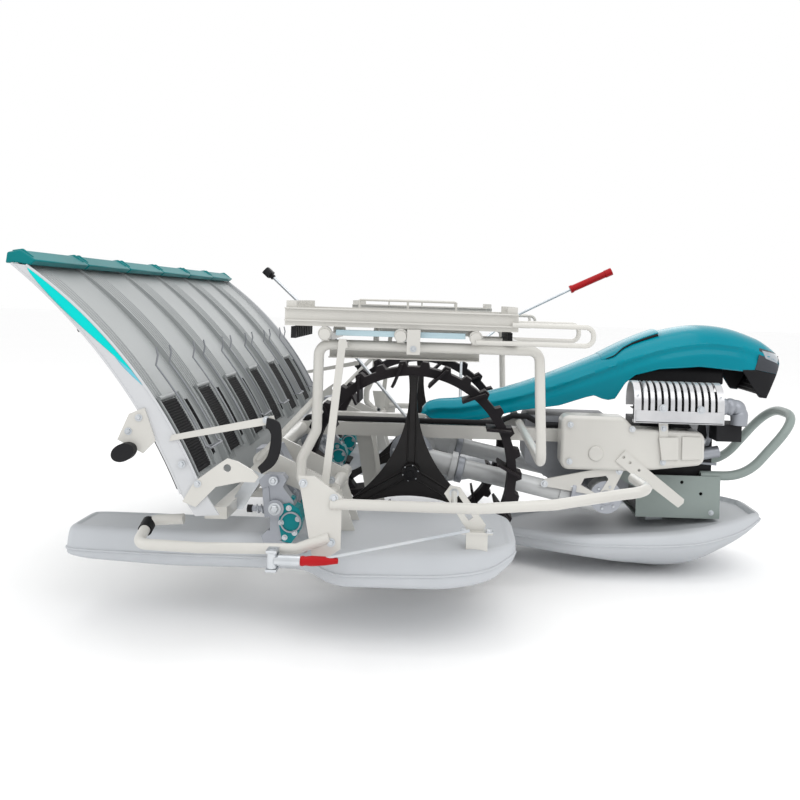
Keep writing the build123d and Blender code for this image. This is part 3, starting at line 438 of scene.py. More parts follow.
def build_belts():
    """A broad cleated belt in each lane with its frame, top roller, the pins beside it, a black rod painted as
    the shade in the slot beside it, and the bent wire that holds the mat down over it."""
    belts, frames, pins, slot_shades, holders = [], [], [], [], []
    pin = [(0, 0), (0, 0.0026), (0.002, 0.002), (0.002, 0)]
    for y in ROW_Y:
        edges = (y - 0.082, y + 0.026)
        belts.append(arc_strip(np.linspace(0.03, 0.32, 24), 0.33, *edges))
        for step in np.linspace(0.04, 0.31, 26):
            belts.append(cross_bar(platform_xz(step, 0.325), *edges, 0.0022, 6))
        for offset in (-0.086, 0.03, 0.066):
            line = platform_xz(np.linspace(0.02, 0.34, 16), 0.31)
            frames.append(rod(line_at(line, y + offset), 0.0032, 6))
        frames.append(cross_bar(platform_xz(0.335, 0.28), y - 0.088, y + 0.032, 0.006, 14))
        for step in np.linspace(0.06, 0.3, 9):
            at = platform_xz(step, 0.35)
            pins.append(turned(pin, (at[0], y + 0.082, at[1]), (1, 0, 0.7), 8))
        # A black rod along the slot beside the belt: painted shade for the slot's dark opening.
        slot_shades.append(rod(line_at(platform_xz(np.linspace(0.06, 0.3, 12), 0.37), y + 0.094), 0.0045, 6))
        holders += mat_holder(y)
    piece("belt_cleats", belts, BELT, "platform", stands_for=("feed_belts",))
    piece("belt_frames", frames, PANEL, "platform")
    piece("belt_pins", pins, BLACK, "platform")
    piece("belt_side_slot_shades", slot_shades, BLACK, "platform")
    piece("holder_rods", holders, CASE, "platform", stands_for=("mat_holders",))


def build_board():
    """The seedling board: one profile across the six lanes, stepped forward for each divider and each low
    ridge, swept up the platform's curve as a closed band, with the lip that carries on down below it."""
    edge = PLATFORM_HALF - 0.003
    face, back, slope = 0.45, 0.62, 0.0012
    # offset from the lane's edge, half width and front's share across: the divider, then the low ridges
    ridges = [(0.0, 0.0022, 0.1)]
    ridges += [(offset, 0.0011, 0.39) for offset in [0.02 + rib * 0.0155 for rib in range(7)] + [0.285]]
    profile = [(-edge, back), (-edge, face)]
    for y in ROW_Y:
        for offset, width, front in ridges:
            at = y - ROW_PITCH / 2 + offset
            if at > -edge + 0.004:
                profile += [(at - width - slope, face), (at - width, front)]
                profile += [(at + width, front), (at + width + slope, face)]
    profile += [(edge, face), (edge, back)]
    across_y, share = np.array(profile).T
    up = np.linspace(0.0, 1.0, 48)
    flat = platform_xz(up[:, None], share[None])
    points = np.stack([flat[..., 0], np.broadcast_to(across_y, flat.shape[:2]), flat[..., 1]], axis=-1)
    band = sheet_of(points, close_cols=True)
    lip = [platform_xz(0.0, back), platform_xz(0.0, face), (-0.557, 0.332), (-0.569, 0.332)]
    head = [platform_xz(0.99, 0.61), platform_xz(0.99, 0.46), platform_xz(1.01, 0.46), platform_xz(1.01, 0.61)]
    piece("lane_board", [band, slab(lip, -edge, edge), slab(head, -edge, edge)], PANEL, "platform",
          stands_for=("platform_panel",), crease=30)


# Hood: a smooth arch over the engine, lofted along x from the tail to the nose
HOOD_ROWS = np.array([
    # x, top z, half width, shoulder radius
    (-0.088, 0.486, 0.044, 0.026), (-0.076, 0.499, 0.049, 0.03), (-0.062, 0.507, 0.051, 0.032),
    (-0.03, 0.515, 0.056, 0.034), (0.04, 0.522, 0.064, 0.037), (0.13, 0.545, 0.076, 0.042),
    (0.234, 0.576, 0.088, 0.048), (0.35, 0.621, 0.103, 0.056), (0.468, 0.672, 0.118, 0.064),
    (0.57, 0.718, 0.131, 0.07), (0.669, 0.757, 0.142, 0.076), (0.76, 0.78, 0.148, 0.08),
    (0.836, 0.787, 0.15, 0.082), (0.92, 0.778, 0.149, 0.08), (1.0, 0.752, 0.143, 0.076),
    (1.03, 0.736, 0.134, 0.07), (1.055, 0.719, 0.118, 0.064), (1.068, 0.708, 0.098, 0.056),
    (1.074, 0.702, 0.078, 0.05),
])
HOOD_EDGE = np.array([
    # x, lower edge z
    (-0.088, 0.471), (-0.076, 0.47), (-0.06, 0.457), (-0.03, 0.453), (0.09, 0.457), (0.227, 0.496),
    (0.355, 0.518), (0.44, 0.549), (0.466, 0.556), (0.492, 0.546), (0.51, 0.543), (0.53, 0.548),
    (0.56, 0.599), (0.592, 0.626), (0.668, 0.648), (0.796, 0.66), (0.93, 0.65), (0.962, 0.604),
    (0.985, 0.568), (1.01, 0.566), (1.074, 0.698),
])
HOOD_TAIL, HOOD_NOSE = -0.088, 1.074
ARCH_POWER = 2.3


def hood_section(x):
    """The arch's top, half width, shoulder radius and shoulder height at x."""
    fine = smooth_path(HOOD_ROWS, 10)
    top, half, radius = (np.interp(x, fine[:, 0], fine[:, column]) for column in (1, 2, 3))
    return top, half, radius, np.minimum(top - 1.15 * radius, top - 0.012)


def hood_points(x, across, out=0.0):
    """The hood's skin: at each x a straight side up to the shoulder, then a superellipse of ARCH_POWER over
    the top. Across runs from -1 at the right lower edge through 0 on the crown to 1 at the left one. A soft
    crease runs along each flank, and out moves a point away from the arch's middle."""
    x, across = np.broadcast_arrays(np.asarray(x, float), np.asarray(across, float))
    top, half, radius, shoulder = hood_section(x)
    low = np.interp(x, HOOD_EDGE[:, 0], HOOD_EDGE[:, 1])
    start = np.maximum(low, shoulder)
    lift = np.clip((start - shoulder) / (top - shoulder), 0, 0.98)
    first = np.arcsin(lift ** (ARCH_POWER / 2))
    share = np.abs(across)
    side_share = np.clip((start - low) / ((start - low) + radius), 0, 0.75)
    on_side = share > 1 - side_share
    climb = (1 - share) / np.maximum(side_share, 1e-6)
    over = np.clip(1 - share / np.maximum(1 - side_share, 1e-6), 0, 1)
    angle = first + (math.pi / 2 - first) * over
    arch_y = (half + out) * np.abs(np.cos(angle)) ** (2 / ARCH_POWER)
    arch_z = shoulder + (top + out - shoulder) * np.abs(np.sin(angle)) ** (2 / ARCH_POWER)
    y = np.where(on_side, half + out, arch_y)
    z = np.where(on_side, low + (start - low) * climb, arch_z)
    crease = top - 0.62 * radius - 0.004
    ridge = 0.0045 * np.exp(-((z - crease) / 0.006) ** 2)
    groove = 0.0055 * np.exp(-((z - crease + 0.018) / 0.011) ** 2)
    y = y + (ridge - groove) * (share > 0.2)
    return np.stack([x, np.sign(across) * y, z], axis=-1)


def build_hood():
    """The hood's skin on an even grid, its raised air flap with a black rod beside it, painted shade for the
    gap under the flap's edge, and the bead along its edge."""
    x = np.unique(np.concatenate([np.linspace(HOOD_TAIL, HOOD_NOSE, 150), HOOD_EDGE[:, 0]]))[:, None]
    skin = hood_points(x, np.linspace(-1, 1, 65)[None])
    piece("hood_skin", [sheet_of(skin)], TEAL, "hood", stands_for=("hood_shell",), wall=0.0035,
          crease=50)
    flap_start, flap_length = 0.49, 0.185
    flap_x = np.linspace(flap_start, flap_start + flap_length, 30)[:, None]
    rise = 0.0095 * np.sin(math.pi * (flap_x - flap_start) / flap_length / 2) ** 0.8 + 0.001
    flap = hood_points(flap_x, np.linspace(-0.24, 0.24, 21)[None], rise)
    piece("hood_flap", [sheet_of(flap)], TEAL, "hood", wall=0.0022, bevel=0.0006)
    # A black rod along each side of the flap, thicker where the flap rises higher, is painted shade for the gap
    # under its edge.
    gap_shade_x = np.linspace(0.505, 0.674, 24)
    lip_start = 0.93
    beads = (("edge", TEAL, HOOD_TAIL, lip_start), ("lip", BLACK, lip_start, 1.01))
    for side, sign in SIDES:
        gap_shade = hood_points(gap_shade_x, sign * 0.245, 0.0035)
        piece(f"hood_flap_gap_shade_{side}", [rod(gap_shade, np.linspace(0.0012, 0.0052, 24))], BLACK, "hood")
        for name, finish, start, stop in beads:
            edge = hood_points(np.linspace(start, stop, int(150 * (stop - start)) + 4), sign, -0.0012)
            piece(f"hood_{name}_{side}", [rod(edge, 0.0026)], finish, "hood")


def build_grille():
    """The grille across the nose's mouth: a plate from edge to edge, bowed forward by 3 mm (1 - u^2), with
    cross bars and uprights on it that keep to the same bow."""
    mouth = np.array([
        # x, z, half width
        (1.0105, 0.567, 0.138), (1.0455, 0.64, 0.122), (1.0725, 0.696, 0.078),
    ])

    def at(u, z, back):
        x, half = (np.interp(z, mouth[:, 1], mouth[:, column]) for column in (0, 2))
        return np.stack(np.broadcast_arrays(x - back + 0.003 * (1 - u * u), half * u, z), axis=-1)

    plate = at(np.linspace(-0.995, 0.995, 25)[None], np.linspace(0.568, 0.695, 24)[:, None], 0.005)
    piece("grille_plate", [sheet_of(plate)], BLACK, "hood", wall=0.0012)
    bars = []
    for level in np.linspace(0.58, 0.686, 10):
        bars.append(rod(at(np.linspace(-0.97, 0.97, 15), np.full(15, level), 0.0045), 0.0032))
    for u in (-0.55, 0.0, 0.55):
        bars.append(rod(at(np.full(9, u), np.linspace(0.575, 0.69, 9), 0.004), 0.003))
    piece("grille_bars", bars, BLACK, "hood", stands_for=("hood_grille",))


# Bolts and sleeves
def bolts_at(places, y, side, across, height):
    """Bolts on their washers at the listed x and z, at one y and facing to one side."""
    return [part for x, z in places for part in hexagon_bolt((x, y, z), (0, side, 0), across, height)]


def bolt_circle(centre, side, radius, count, start, across, height):
    """Bolts without washers, evenly spaced on a circle round a crosswise axis from the angle start."""
    bolts = []
    for angle in full_turn(count) + start:
        at = (centre[0] + radius * math.cos(angle), centre[1], centre[2] + radius * math.sin(angle))
        bolts += hexagon_bolt(at, (0, side, 0), across, height, washer=False)
    return bolts


def build_fasteners():
    """Hexagon bolts on the side frames, the platform, the engine's right side and the hubs, gathered by
    body."""
    root, platform = [], []
    frame_face, plate_face = 0.928, 0.905
    frame_places = ((-0.325, 0.418), (-0.254, 0.386), (-0.318, 0.27), (-0.258, 0.285), (-0.247, 0.372))
    plate_places = ((-0.712, 0.552), (-0.735, 0.52), (-0.61, 0.448), (-0.572, 0.404), (-0.418, 0.556))
    for side, sign in SIDES:
        root += bolts_at(frame_places, sign * frame_face, sign, 0.013, 0.007)
        for x in (0.046, 0.108):
            root += hexagon_bolt((x, sign * 0.808, 0.287), (0, 0, 1), 0.014, 0.009)
        root += bolts_at([(0.02, 0.376)], sign * 0.793, sign, 0.015, 0.007)
        platform += bolts_at(plate_places, sign * plate_face, sign, 0.011, 0.006)
        root += bolts_at([(-0.29, 0.34), (-0.29, 0.38)], sign * 0.705, sign, 0.012, 0.006)
    right_groups = (
        # y, width, height, places in x and z
        (-0.247, 0.014, 0.007, [(0.3, 0.292), (ARM_PIVOT_X, ARM_PIVOT_Z), (0.528, 0.338)]),
        (-0.266, 0.012, 0.006,
         [(0.655, 0.475), (0.656, 0.372), (0.56, 0.47), (0.372, 0.478), (0.372, 0.366)]),
        (-0.15, 0.011, 0.006, [(0.842, 0.196), (0.622, 0.286)]),
    )
    for y, width, height, places in right_groups:
        root += bolts_at(places, y, -1, width, height)
    piece("frame_bolts", root, ZINC, "root")
    piece("platform_bolts", platform, ZINC, "platform")
    for side, sign in SIDES:
        bolts = bolt_circle((AXLE_X, sign * 0.3322, AXLE_Z), sign, 0.0232, 6, 0.26, 0.0042, 0.002)
        piece(f"hub_bolts_{side}", bolts, ZINC, f"wheel_{side}")


def build_sleeves():
    """Rubber sleeves and rolled ends on the guards, markers and handles, each turned on its own axis."""
    ribs = [(along, 0.0118 - 0.0012 * (step % 2)) for step, along in enumerate(np.linspace(0, 0.05, 26))]
    ribbed = [(0, 0)] + ribs + [(0.05, 0)]
    grip = [
        (0, 0), (0, 0.01), (0.006, 0.0115), (0.012, 0.01), (0.026, 0.0115), (0.055, 0.01),
        (0.085, 0.006), (0.086, 0),
    ]
    handle = [(0, 0), (0, 0.0165)]
    for start in [step * 0.0105 for step in range(10)]:
        handle += [(0.006 + start, 0.0165), (0.009 + start, 0.015), (0.012 + start, 0.0165)]
    handle += [(0.113, 0.0178), (0.119, 0.0178), (0.1195, 0)]
    marker_y, marker_z = 0.958, 0.25
    for side, sign in SIDES:
        knuckle = turned(ribbed, (-0.378, sign * marker_y, marker_z), (1, 0, 0), 24)
        piece(f"marker_knuckle_{side}", [knuckle], CAST, f"marker_{side}")
        sleeve = turned(grip, (-0.322, sign * marker_y, marker_z), (1, 0, 0.03), 24)
        piece(f"marker_sleeve_{side}", [sleeve], RED, f"marker_{side}",
              stands_for=(f"marker_grip_{side}",))
        piece(f"handle_sleeve_{side}", [turned(handle, (-1.1365, sign * 0.25, 0.728), (1, 0, 0), 28)], BLACK,
              "root", stands_for=("handle_grips",))
        route = [(-0.7, sign * 0.875, 0.285), (-0.7, sign * 0.845, 0.297)]
        piece(f"guard_sleeve_{side}", [rod(route, 0.0165, 20)], BLACK, "root")


# Floats: rounded hulls drawn section by section along the machine
MID_STATIONS = np.array([
    # x, inner y, outer y, keel z, parting z, deck z
    (-0.56, -0.09, 0.09, 0.04, 0.062, 0.078), (-0.52, -0.097, 0.097, 0.027, 0.064, 0.084),
    (-0.2, -0.108, 0.108, 0.042, 0.082, 0.103), (0.214, -0.114, 0.114, 0.058, 0.098, 0.122),
    (0.33, -0.2, 0.2, 0.055, 0.104, 0.128), (0.42, -0.255, 0.255, 0.05, 0.108, 0.136),
    (0.6, -0.262, 0.262, 0.006, 0.112, 0.15), (0.7, -0.262, 0.262, 0.0, 0.116, 0.158),
    (0.79, -0.255, 0.255, 0.014, 0.124, 0.172), (0.9, -0.21, 0.21, 0.072, 0.142, 0.188),
    (0.97, -0.16, 0.16, 0.112, 0.158, 0.192), (1.026, -0.09, 0.09, 0.15, 0.172, 0.184),
])
SIDE_STATIONS = np.array([
    (-0.972, 0.508, 0.694, 0.17, 0.184, 0.238), (-0.93, 0.504, 0.7, 0.156, 0.182, 0.24),
    (-0.7, 0.502, 0.704, 0.144, 0.178, 0.238), (-0.42, 0.502, 0.706, 0.146, 0.178, 0.238),
    (-0.35, 0.495, 0.712, 0.148, 0.182, 0.243), (-0.262, 0.372, 0.856, 0.15, 0.186, 0.244),
    (0.0, 0.372, 0.858, 0.15, 0.192, 0.25), (0.1, 0.384, 0.838, 0.162, 0.2, 0.251),
    (0.15, 0.42, 0.79, 0.18, 0.21, 0.247), (0.184, 0.47, 0.72, 0.208, 0.22, 0.24),
])


def eased(x, table, column, reach=0.035):
    """A column of the table read along x, each value the mean of nine readings within reach on either
    side."""
    return np.interp(x[:, None] + np.linspace(-reach, reach, 9), table[:, 0], table[:, column]).mean(axis=1)


def float_hull(stations, sign, sink, lower):
    """A moulded float: at each x a superellipse of power 8 above the parting line and of the power lower
    gives below it, drawn in over the last 40 mm of either end by (1-(1-s)^4)^(1/4), leaning in 12 mm up to
    its deck, which is sunk inside a rim."""
    first, last = stations[0, 0], stations[-1, 0]
    end_length, lean, rim_width, rim_slope = 0.04, 0.012, 0.022, 0.008
    x = first + (last - first) * (1 - np.cos(np.linspace(0, math.pi, 150))) / 2
    inner, outer, keel, parting, deck = (eased(x, stations, column) for column in range(1, 6))
    s = np.clip(np.minimum(x - first, last - x) / end_length, 0, 1)
    blunt = (1 - (1 - s) ** 4) ** (1 / 4)
    turn = full_turn(96)
    c, v = np.cos(turn), np.sin(turn)
    upper = v >= 0
    power = np.where(upper[None], 8.0, np.interp(x, *lower)[:, None])
    reach_y = np.sign(c) * np.abs(c) ** (2 / power)
    reach_z = np.abs(v) ** (2 / power)
    middle, half = (inner + outer) / 2, (outer - inner) / 2 * blunt
    rise, drop = (deck - parting) * blunt, (parting - keel) * blunt
    y = middle[:, None] + (half[:, None] - lean * np.where(upper, reach_z, 0)) * reach_y
    z = parting[:, None] + np.where(upper, rise[:, None] * reach_z, -drop[:, None] * reach_z)
    edge = half[:, None] * (1 - np.abs(reach_y))
    ends = np.minimum(x - first, last - x)[:, None]
    sunk = np.clip((np.minimum(edge, ends) - rim_width) / rim_slope, 0, 1)
    z = z - sink * np.where(upper, sunk * sunk * (3 - 2 * sunk), 0)
    points = np.stack([np.broadcast_to(x[:, None], y.shape), sign * y, z], axis=-1)
    seam = np.stack([x, sign * (middle + half), parting], axis=1)[6:-6]
    seam_in = np.stack([x, sign * (middle - half), parting], axis=1)[6:-6]
    return sheet_of(points, close_cols=True), [rod(seam, 0.0034), rod(seam_in, 0.0034)]


def build_floats():
    """The three floats with the moulding seam round each."""
    hull, seams = float_hull(MID_STATIONS, 1, 0.016, ((0.25, 0.6), (4.0, 1.8)))
    piece("mid_float_skin", [hull] + seams, FLOAT, "root", stands_for=("centre_float",),
          crease=60)
    for side, sign in SIDES:
        hull, seams = float_hull(SIDE_STATIONS, sign, 0.004, ((-1.0, 1.0), (6.0, 6.0)))
        piece(f"float_skin_{side}", [hull] + seams, FLOAT, "root",
              stands_for=(f"side_float_{side}",), crease=60)


# Trim on the hood's flanks, the engine, the planting arms and the frame
def flank(x, z, sign, out):
    """Points on the hood's flank at given x and z: y from the same section as hood_points, moved out
    sideways."""
    x, z = np.broadcast_arrays(np.asarray(x, float), np.asarray(z, float))
    top, half, _, shoulder = hood_section(x)
    lift = np.clip((z - shoulder) / (top - shoulder), 0, 0.999)
    y = half * (1 - lift ** ARCH_POWER) ** (1 / ARCH_POWER)
    return np.stack([x, sign * (y + out), z], axis=-1)


def flank_patch(corners, sign, out, steps=12):
    """A patch on the flank: the four corners' x and z blended in both directions."""
    a, b, c, d = (np.array(corner) for corner in corners)
    u = np.linspace(0, 1, steps)[:, None, None]
    v = np.linspace(0, 1, steps)[None, :, None]
    flat = (1 - u) * ((1 - v) * a + v * b) + u * ((1 - v) * d + v * c)
    return sheet_of(flank(flat[..., 0], flat[..., 1], sign, out))


def build_nose():
    """Black mouth, dark bezel and clear lamp on each flank of the hood's nose, a black lining inside the hood
    as painted shade for its dark underside, and the dark shroud over the engine."""
    mouth = (
        # four corners in x and z
        ((0.928, 0.652), (0.972, 0.653), (0.988, 0.57), (0.958, 0.606)),
        ((0.972, 0.653), (1.0455, 0.64), (1.0105, 0.567), (0.988, 0.57)),
    )
    bezel = ((0.989, 0.722), (1.07, 0.703), (1.0455, 0.641), (0.968, 0.654))
    lens = ((0.996, 0.715), (1.064, 0.701), (1.05, 0.674), (1.004, 0.69))
    for side, sign in SIDES:
        piece(f"hood_mouth_{side}", [flank_patch(corners, sign, 0.0012) for corners in mouth], BLACK, "hood",
              wall=0.001)
        piece(f"lamp_bezel_{side}", [flank_patch(bezel, sign, 0.0016, 20)], BEZEL, "hood",
              wall=0.001)
        piece(f"lamp_glass_{side}", [flank_patch(lens, sign, 0.003, 20)], LENS, "hood", wall=0.0016,
              bevel=0.0005)
    # A black sheet just inside the hood's skin: painted shade for the hood's dark inside.
    lining_shade = hood_points(np.linspace(-0.04, 1.055, 110)[:, None], np.linspace(-0.995, 0.995, 65)[None], -0.0062)
    piece("hood_lining_shade", [sheet_of(lining_shade)], BLACK, "hood", wall=0.001)
    shroud = [(-0.098, 0.598), (-0.098, 0.64), (-0.075, 0.664), (0.075, 0.664), (0.098, 0.64), (0.098, 0.598)]
    piece("engine_shroud", [slab(shroud, 0.585, 0.885, across="x")], BLACK, "root",
          bevel=0.006)


def build_engine_side():
    """Ribbed exhaust elbow, C-shaped casting, the guard's lip and bolts, and the belt cover's boss, boxes
    and bead."""
    route = bent_path([(0.838, -0.215, 0.541), (0.9, -0.215, 0.541), (0.9, -0.215, 0.486)], 0.03, 24)
    first_run = route[:1] + (route[1] - route[0]) * np.linspace(0, 1, 14)[:, None]
    route = np.vstack([first_run, route[2:]])
    length = np.concatenate([[0], np.cumsum(np.linalg.norm(np.diff(route, axis=0), axis=1))])
    ribs = 0.0236 + 0.0032 * np.abs(np.sin(length / 0.011 * math.pi / 2))
    piece("elbow_ribs", [rod(route, ribs, 28)], CAST, "root")
    horseshoe = [
        (0.774, 0.488), (0.792, 0.489), (0.802, 0.474), (0.798, 0.452), (0.812, 0.434), (0.83, 0.424),
        (0.827, 0.408), (0.804, 0.411), (0.784, 0.432), (0.779, 0.46), (0.77, 0.474),
    ]
    casting_face = -0.124
    piece("horseshoe_casting", [slab(horseshoe, casting_face, -0.105)], WHITE, "root", bevel=0.002)
    bolts = bolts_at([(0.785, 0.481), (0.79, 0.443), (0.818, 0.417)], casting_face, -1, 0.01, 0.005)
    bolts += bolts_at([(0.648, 0.538), (0.762, 0.536)], -0.2835, -1, 0.016, 0.006)
    for x in (0.572, 0.822):
        for y, z in ((-0.2805, 0.576), (-0.2843, 0.504)):
            bolts += hexagon_bolt((x, y, z), (0, -1, 0), 0.006, 0.002, washer=False)
    piece("engine_bolts", bolts, ZINC, "root")
    guard_ends = (0.566, 0.829)
    lip = [rod([(x, -0.281, 0.496) for x in guard_ends], 0.0035)]
    lip.append(block(guard_ends, (0.496, 0.53), (-0.2845, -0.2798)))
    piece("guard_lip", lip, LOUVRE, "root", bevel=0.0008)
    cover_face = -0.262
    disc = [(0, 0), (0, 0.024), (0.005, 0.022), (0.006, 0.0)]
    panel = [(0.712, 0.452), (0.77, 0.452), (0.77, 0.384), (0.712, 0.38)]
    box = [(0.64, 0.448), (0.7, 0.45), (0.702, 0.382), (0.65, 0.378)]
    relief = [
        turned(disc, (0.452, cover_face, 0.392), (0, -1, 0), 32),
        slab(panel, -0.268, cover_face),
        slab(box, -0.272, -0.266),
    ]
    piece("cover_relief", relief, CREAM, "root", bevel=0.002)
    corners = [
        (0.352, 0.5), (0.533, 0.5), (0.568, 0.464), (0.78, 0.46), (0.78, 0.371), (0.585, 0.346),
        (0.352, 0.346),
    ]
    closed = [corners[-1]] + corners + corners[:2]
    bead = bent_path([(x, -0.2555, z) for x, z in closed], 0.028)[1:-1]
    piece("cover_bead", [rod(bead, 0.0022, 6)], CREAM, "root")


def build_planting_details():
    """Bolts, rings, springs, boots and clamp plates on each planting arm, and a bolted flange on each side
    of the three cases."""
    metal, black, zinc, teal = [], [], [], []
    crank_x, crank_z = -0.418, 0.32
    spring_z = 0.313
    arm_places = ((-0.384, 0.322), (-0.361, 0.296), (-0.368, 0.262), (-0.392, 0.25), (-0.402, 0.286))
    ring = [(0, 0.026), (0.004, 0.026), (0.005, 0.022), (0, 0.022)]
    turns = np.linspace(0, 10 * math.pi, 90)
    boot = [
        (0, 0), (0, 0.013), (0.006, 0.016), (0.012, 0.013), (0.018, 0.016), (0.024, 0.013), (0.03, 0.01),
        (0.03, 0),
    ]
    seat = [(0, 0), (0, 0.0095), (0.012, 0.0095), (0.013, 0)]
    clamp = [(-0.452, 0.366), (-0.436, 0.372), (-0.426, 0.3), (-0.444, 0.296)]
    tab = [(-0.394, 0.334), (-0.376, 0.334), (-0.372, 0.344), (-0.39, 0.35)]
    for y in ROW_Y:
        for side in (-1, 1):
            face = y + side * 0.023
            zinc += bolts_at(arm_places, face, side, 0.009, 0.005)
            zinc += bolts_at([(-0.424, 0.388)], y + side * 0.025, side, 0.014, 0.007)
            zinc += bolts_at([(crank_x, crank_z)], y + side * 0.027, side, 0.02, 0.01)
            metal.append(turned(ring, (-0.378, face, 0.288), (0, side, 0), 28))
        coil = [-0.47 + turns * 0.0018, y + 0.01 * np.cos(turns), spring_z + 0.01 * np.sin(turns)]
        zinc.append(rod(np.stack(coil, axis=1), 0.0017, 6))
        black.append(turned(boot, (-0.412, y, 0.268), (0.05, 0, -1), 20))
        black.append(turned(seat, (-0.4905, y, spring_z), (1, 0, 0), 18))
        metal.append(slab(clamp, y - 0.02, y + 0.02))
        teal.append(slab(tab, y - 0.012, y + 0.012))
    flange = [(0, 0), (0, 0.034), (0.006, 0.031), (0.008, 0.018), (0.016, 0.016), (0.016, 0)]
    case_places = ((-0.478, 0.424), (-0.446, 0.432), (-0.404, 0.372), (-0.48, 0.396))
    for y in (-2 * ROW_PITCH, 0.0, 2 * ROW_PITCH):
        for side in (-1, 1):
            face = y + side * 0.032
            metal.append(turned(flange, (crank_x, face, crank_z), (0, side, 0), 32))
            zinc += bolt_circle((crank_x, face + side * 0.006, crank_z), side, 0.026, 4, 0.5, 0.007, 0.004)
            zinc += bolts_at(case_places, face, side, 0.011, 0.006)
    piece("planting_castings", metal, CAST, "root", bevel=0.001)
    piece("planting_bolts", zinc, ZINC, "root")
    piece("planting_boots", black, BLACK, "root")
    piece("planting_tabs", teal, TEAL_DARK, "root", bevel=0.001)


def build_rack_details():
    """Black pads between the racks' end combs and a cap on each end of their rollers."""
    pads, caps = [], []
    cap = [(0, 0), (0, 0.015), (0.004, 0.013), (0.005, 0)]
    for _, sign in SIDES:
        near, far = sorted((sign * 0.566, sign * 0.824))
        for comb in ((-0.384, -0.372), (0.136, 0.148)):
            for y in np.linspace(near + 0.012, far - 0.012, 10):
                pads.append(block(comb, (0.742, 0.77), (y - 0.007, y + 0.007)))
        for x in (-0.3, -0.119, 0.06):
            for y, facing in ((sign * 0.549, -sign), (sign * 0.841, sign)):
                caps.append(turned(cap, (x, y, 0.754), (0, facing, 0), 20))
    piece("rack_pads", pads, BLACK, "root")
    piece("rack_roller_caps", caps, CREAM, "root", bevel=0.001)


def build_bumper():
    """The bumper's tube: two legs and a crossing, on easy bends."""
    half = 0.131
    legs = [(0.809, 0.31), (0.955, 0.312), (1.12, 0.505)]
    corners = [(x, -half, z) for x, z in legs] + [(x, half, z) for x, z in reversed(legs)]
    piece("bumper_tube", [rod(bent_path(corners, 0.11, 12), 0.0148, 20)], TRAY, "root",
          stands_for=("front_bumper",))


def build_strap(side, sign):
    """The broad black strap at one press bar: a crescent between two smooth curves."""
    outer = [
        (-0.416, 0.562), (-0.388, 0.552), (-0.381, 0.52), (-0.384, 0.48), (-0.397, 0.452), (-0.424, 0.432),
    ]
    inner = [
        (-0.434, 0.447), (-0.416, 0.467), (-0.409, 0.486), (-0.405, 0.518), (-0.41, 0.533), (-0.418, 0.538),
    ]
    outline = np.vstack([smooth_path(outer, 5), smooth_path(inner, 5)])
    near, far = sorted((sign * 0.905, sign * 0.914))
    piece(f"strap_{side}", [slab(outline, near, far)], BLACK, "platform",
          stands_for=("press_straps",), bevel=0.002)


def build_drive(side, sign):
    """One wheel's drive: the housing inside the wheel, the flange and cover at the arm's pivot, the axle's
    cap and their bolts."""
    out = (0, sign, 0)
    inner_y = sign * 0.205
    housing_x, housing_z = -0.112, 0.368
    housing = [(0, 0), (0, 0.062), (0.008, 0.066), (0.014, 0.06), (0.018, 0.044), (0.026, 0.04), (0.028, 0)]
    neck = [(0, 0), (0, 0.04), (0.02, 0.04), (0.022, 0.034), (0.022, 0)]
    parts = [
        turned(housing, (housing_x, inner_y, housing_z), out, 36),
        turned(neck, (0.03, inner_y, 0.322), (1, 0, -0.21), 28),
    ]
    piece(f"drive_housing_{side}", parts, CAST, "root", bevel=0.001)
    slope = 0.2
    axis = np.array([1, 0, -slope])
    flange_x, flange_z = 0.382, 0.262
    flange = [(0, 0), (0, 0.052), (0.012, 0.052), (0.014, 0.04), (0.03, 0.036), (0.052, 0.03), (0.06, 0)]
    piece(f"pivot_flange_{side}", [turned(flange, (flange_x, inner_y, flange_z), axis, 36)], CAST, "root",
          bevel=0.001)
    cover = [
        (0, 0), (0, 0.0495), (0.0025, 0.0495), (0.0035, 0.044), (0.0035, 0.024), (0.009, 0.021), (0.009, 0),
    ]
    piece(f"pivot_cover_{side}", [turned(cover, (ARM_PIVOT_X, sign * 0.241, ARM_PIVOT_Z), out, 40)], CAST,
          "root")
    cap = [(0, 0), (0, 0.0204), (0.011, 0.0204), (0.0125, 0.017), (0.0125, 0.01), (0.017, 0.009), (0.017, 0)]
    piece(f"axle_cap_{side}", [turned(cap, (AXLE_X, sign * 0.3345, AXLE_Z), out, 32)], BLACK, "root")
    bolts = bolt_circle((ARM_PIVOT_X, sign * 0.2442, ARM_PIVOT_Z), sign, 0.035, 6, 0.2, 0.009, 0.005)
    for angle in full_turn(6) + 0.5:
        turn_y, turn_z = 0.045 * math.cos(angle), 0.045 * math.sin(angle)
        at = (flange_x + turn_z * slope, inner_y + turn_y, flange_z + turn_z)
        bolts += hexagon_bolt(at, -axis, 0.009, 0.006, washer=False)
    bolts += bolt_circle((housing_x, sign * 0.217, housing_z), sign, 0.054, 7, 0.3, 0.01, 0.006)
    piece(f"drive_bolts_{side}", bolts, ZINC, "root")


def build_frame_trim():
    """Pale blue bars and bolted hanging clips under the racks."""
    bars, clips, bolts = [], [], []
    for _, sign in SIDES:
        bars.append(block((-0.275, 0.035), (0.752, 0.766), (sign * 0.824, sign * 0.83)))
        clips.append(block((-0.104, -0.072), (0.712, 0.772), (sign * 0.842, sign * 0.846)))
        bolts += bolts_at([(-0.088, 0.726)], sign * 0.846, sign, 0.01, 0.005)
    piece("rack_blue_bars", bars, STRAW, "root", bevel=0.001)
    piece("rack_clips", clips, CREAM, "root", bevel=0.001)
    piece("rack_clip_bolts", bolts, ZINC, "root")


def build_platform_trim():
    """Black edging behind the lower part of each side plate, along the platform's rear arc."""
    line = platform_xz(np.linspace(0.02, 0.3, 12), 1.06)
    edging = [rod(line_at(line, sign * 0.894), 0.0042) for _, sign in SIDES]
    piece("platform_edging", edging, BLACK, "platform")


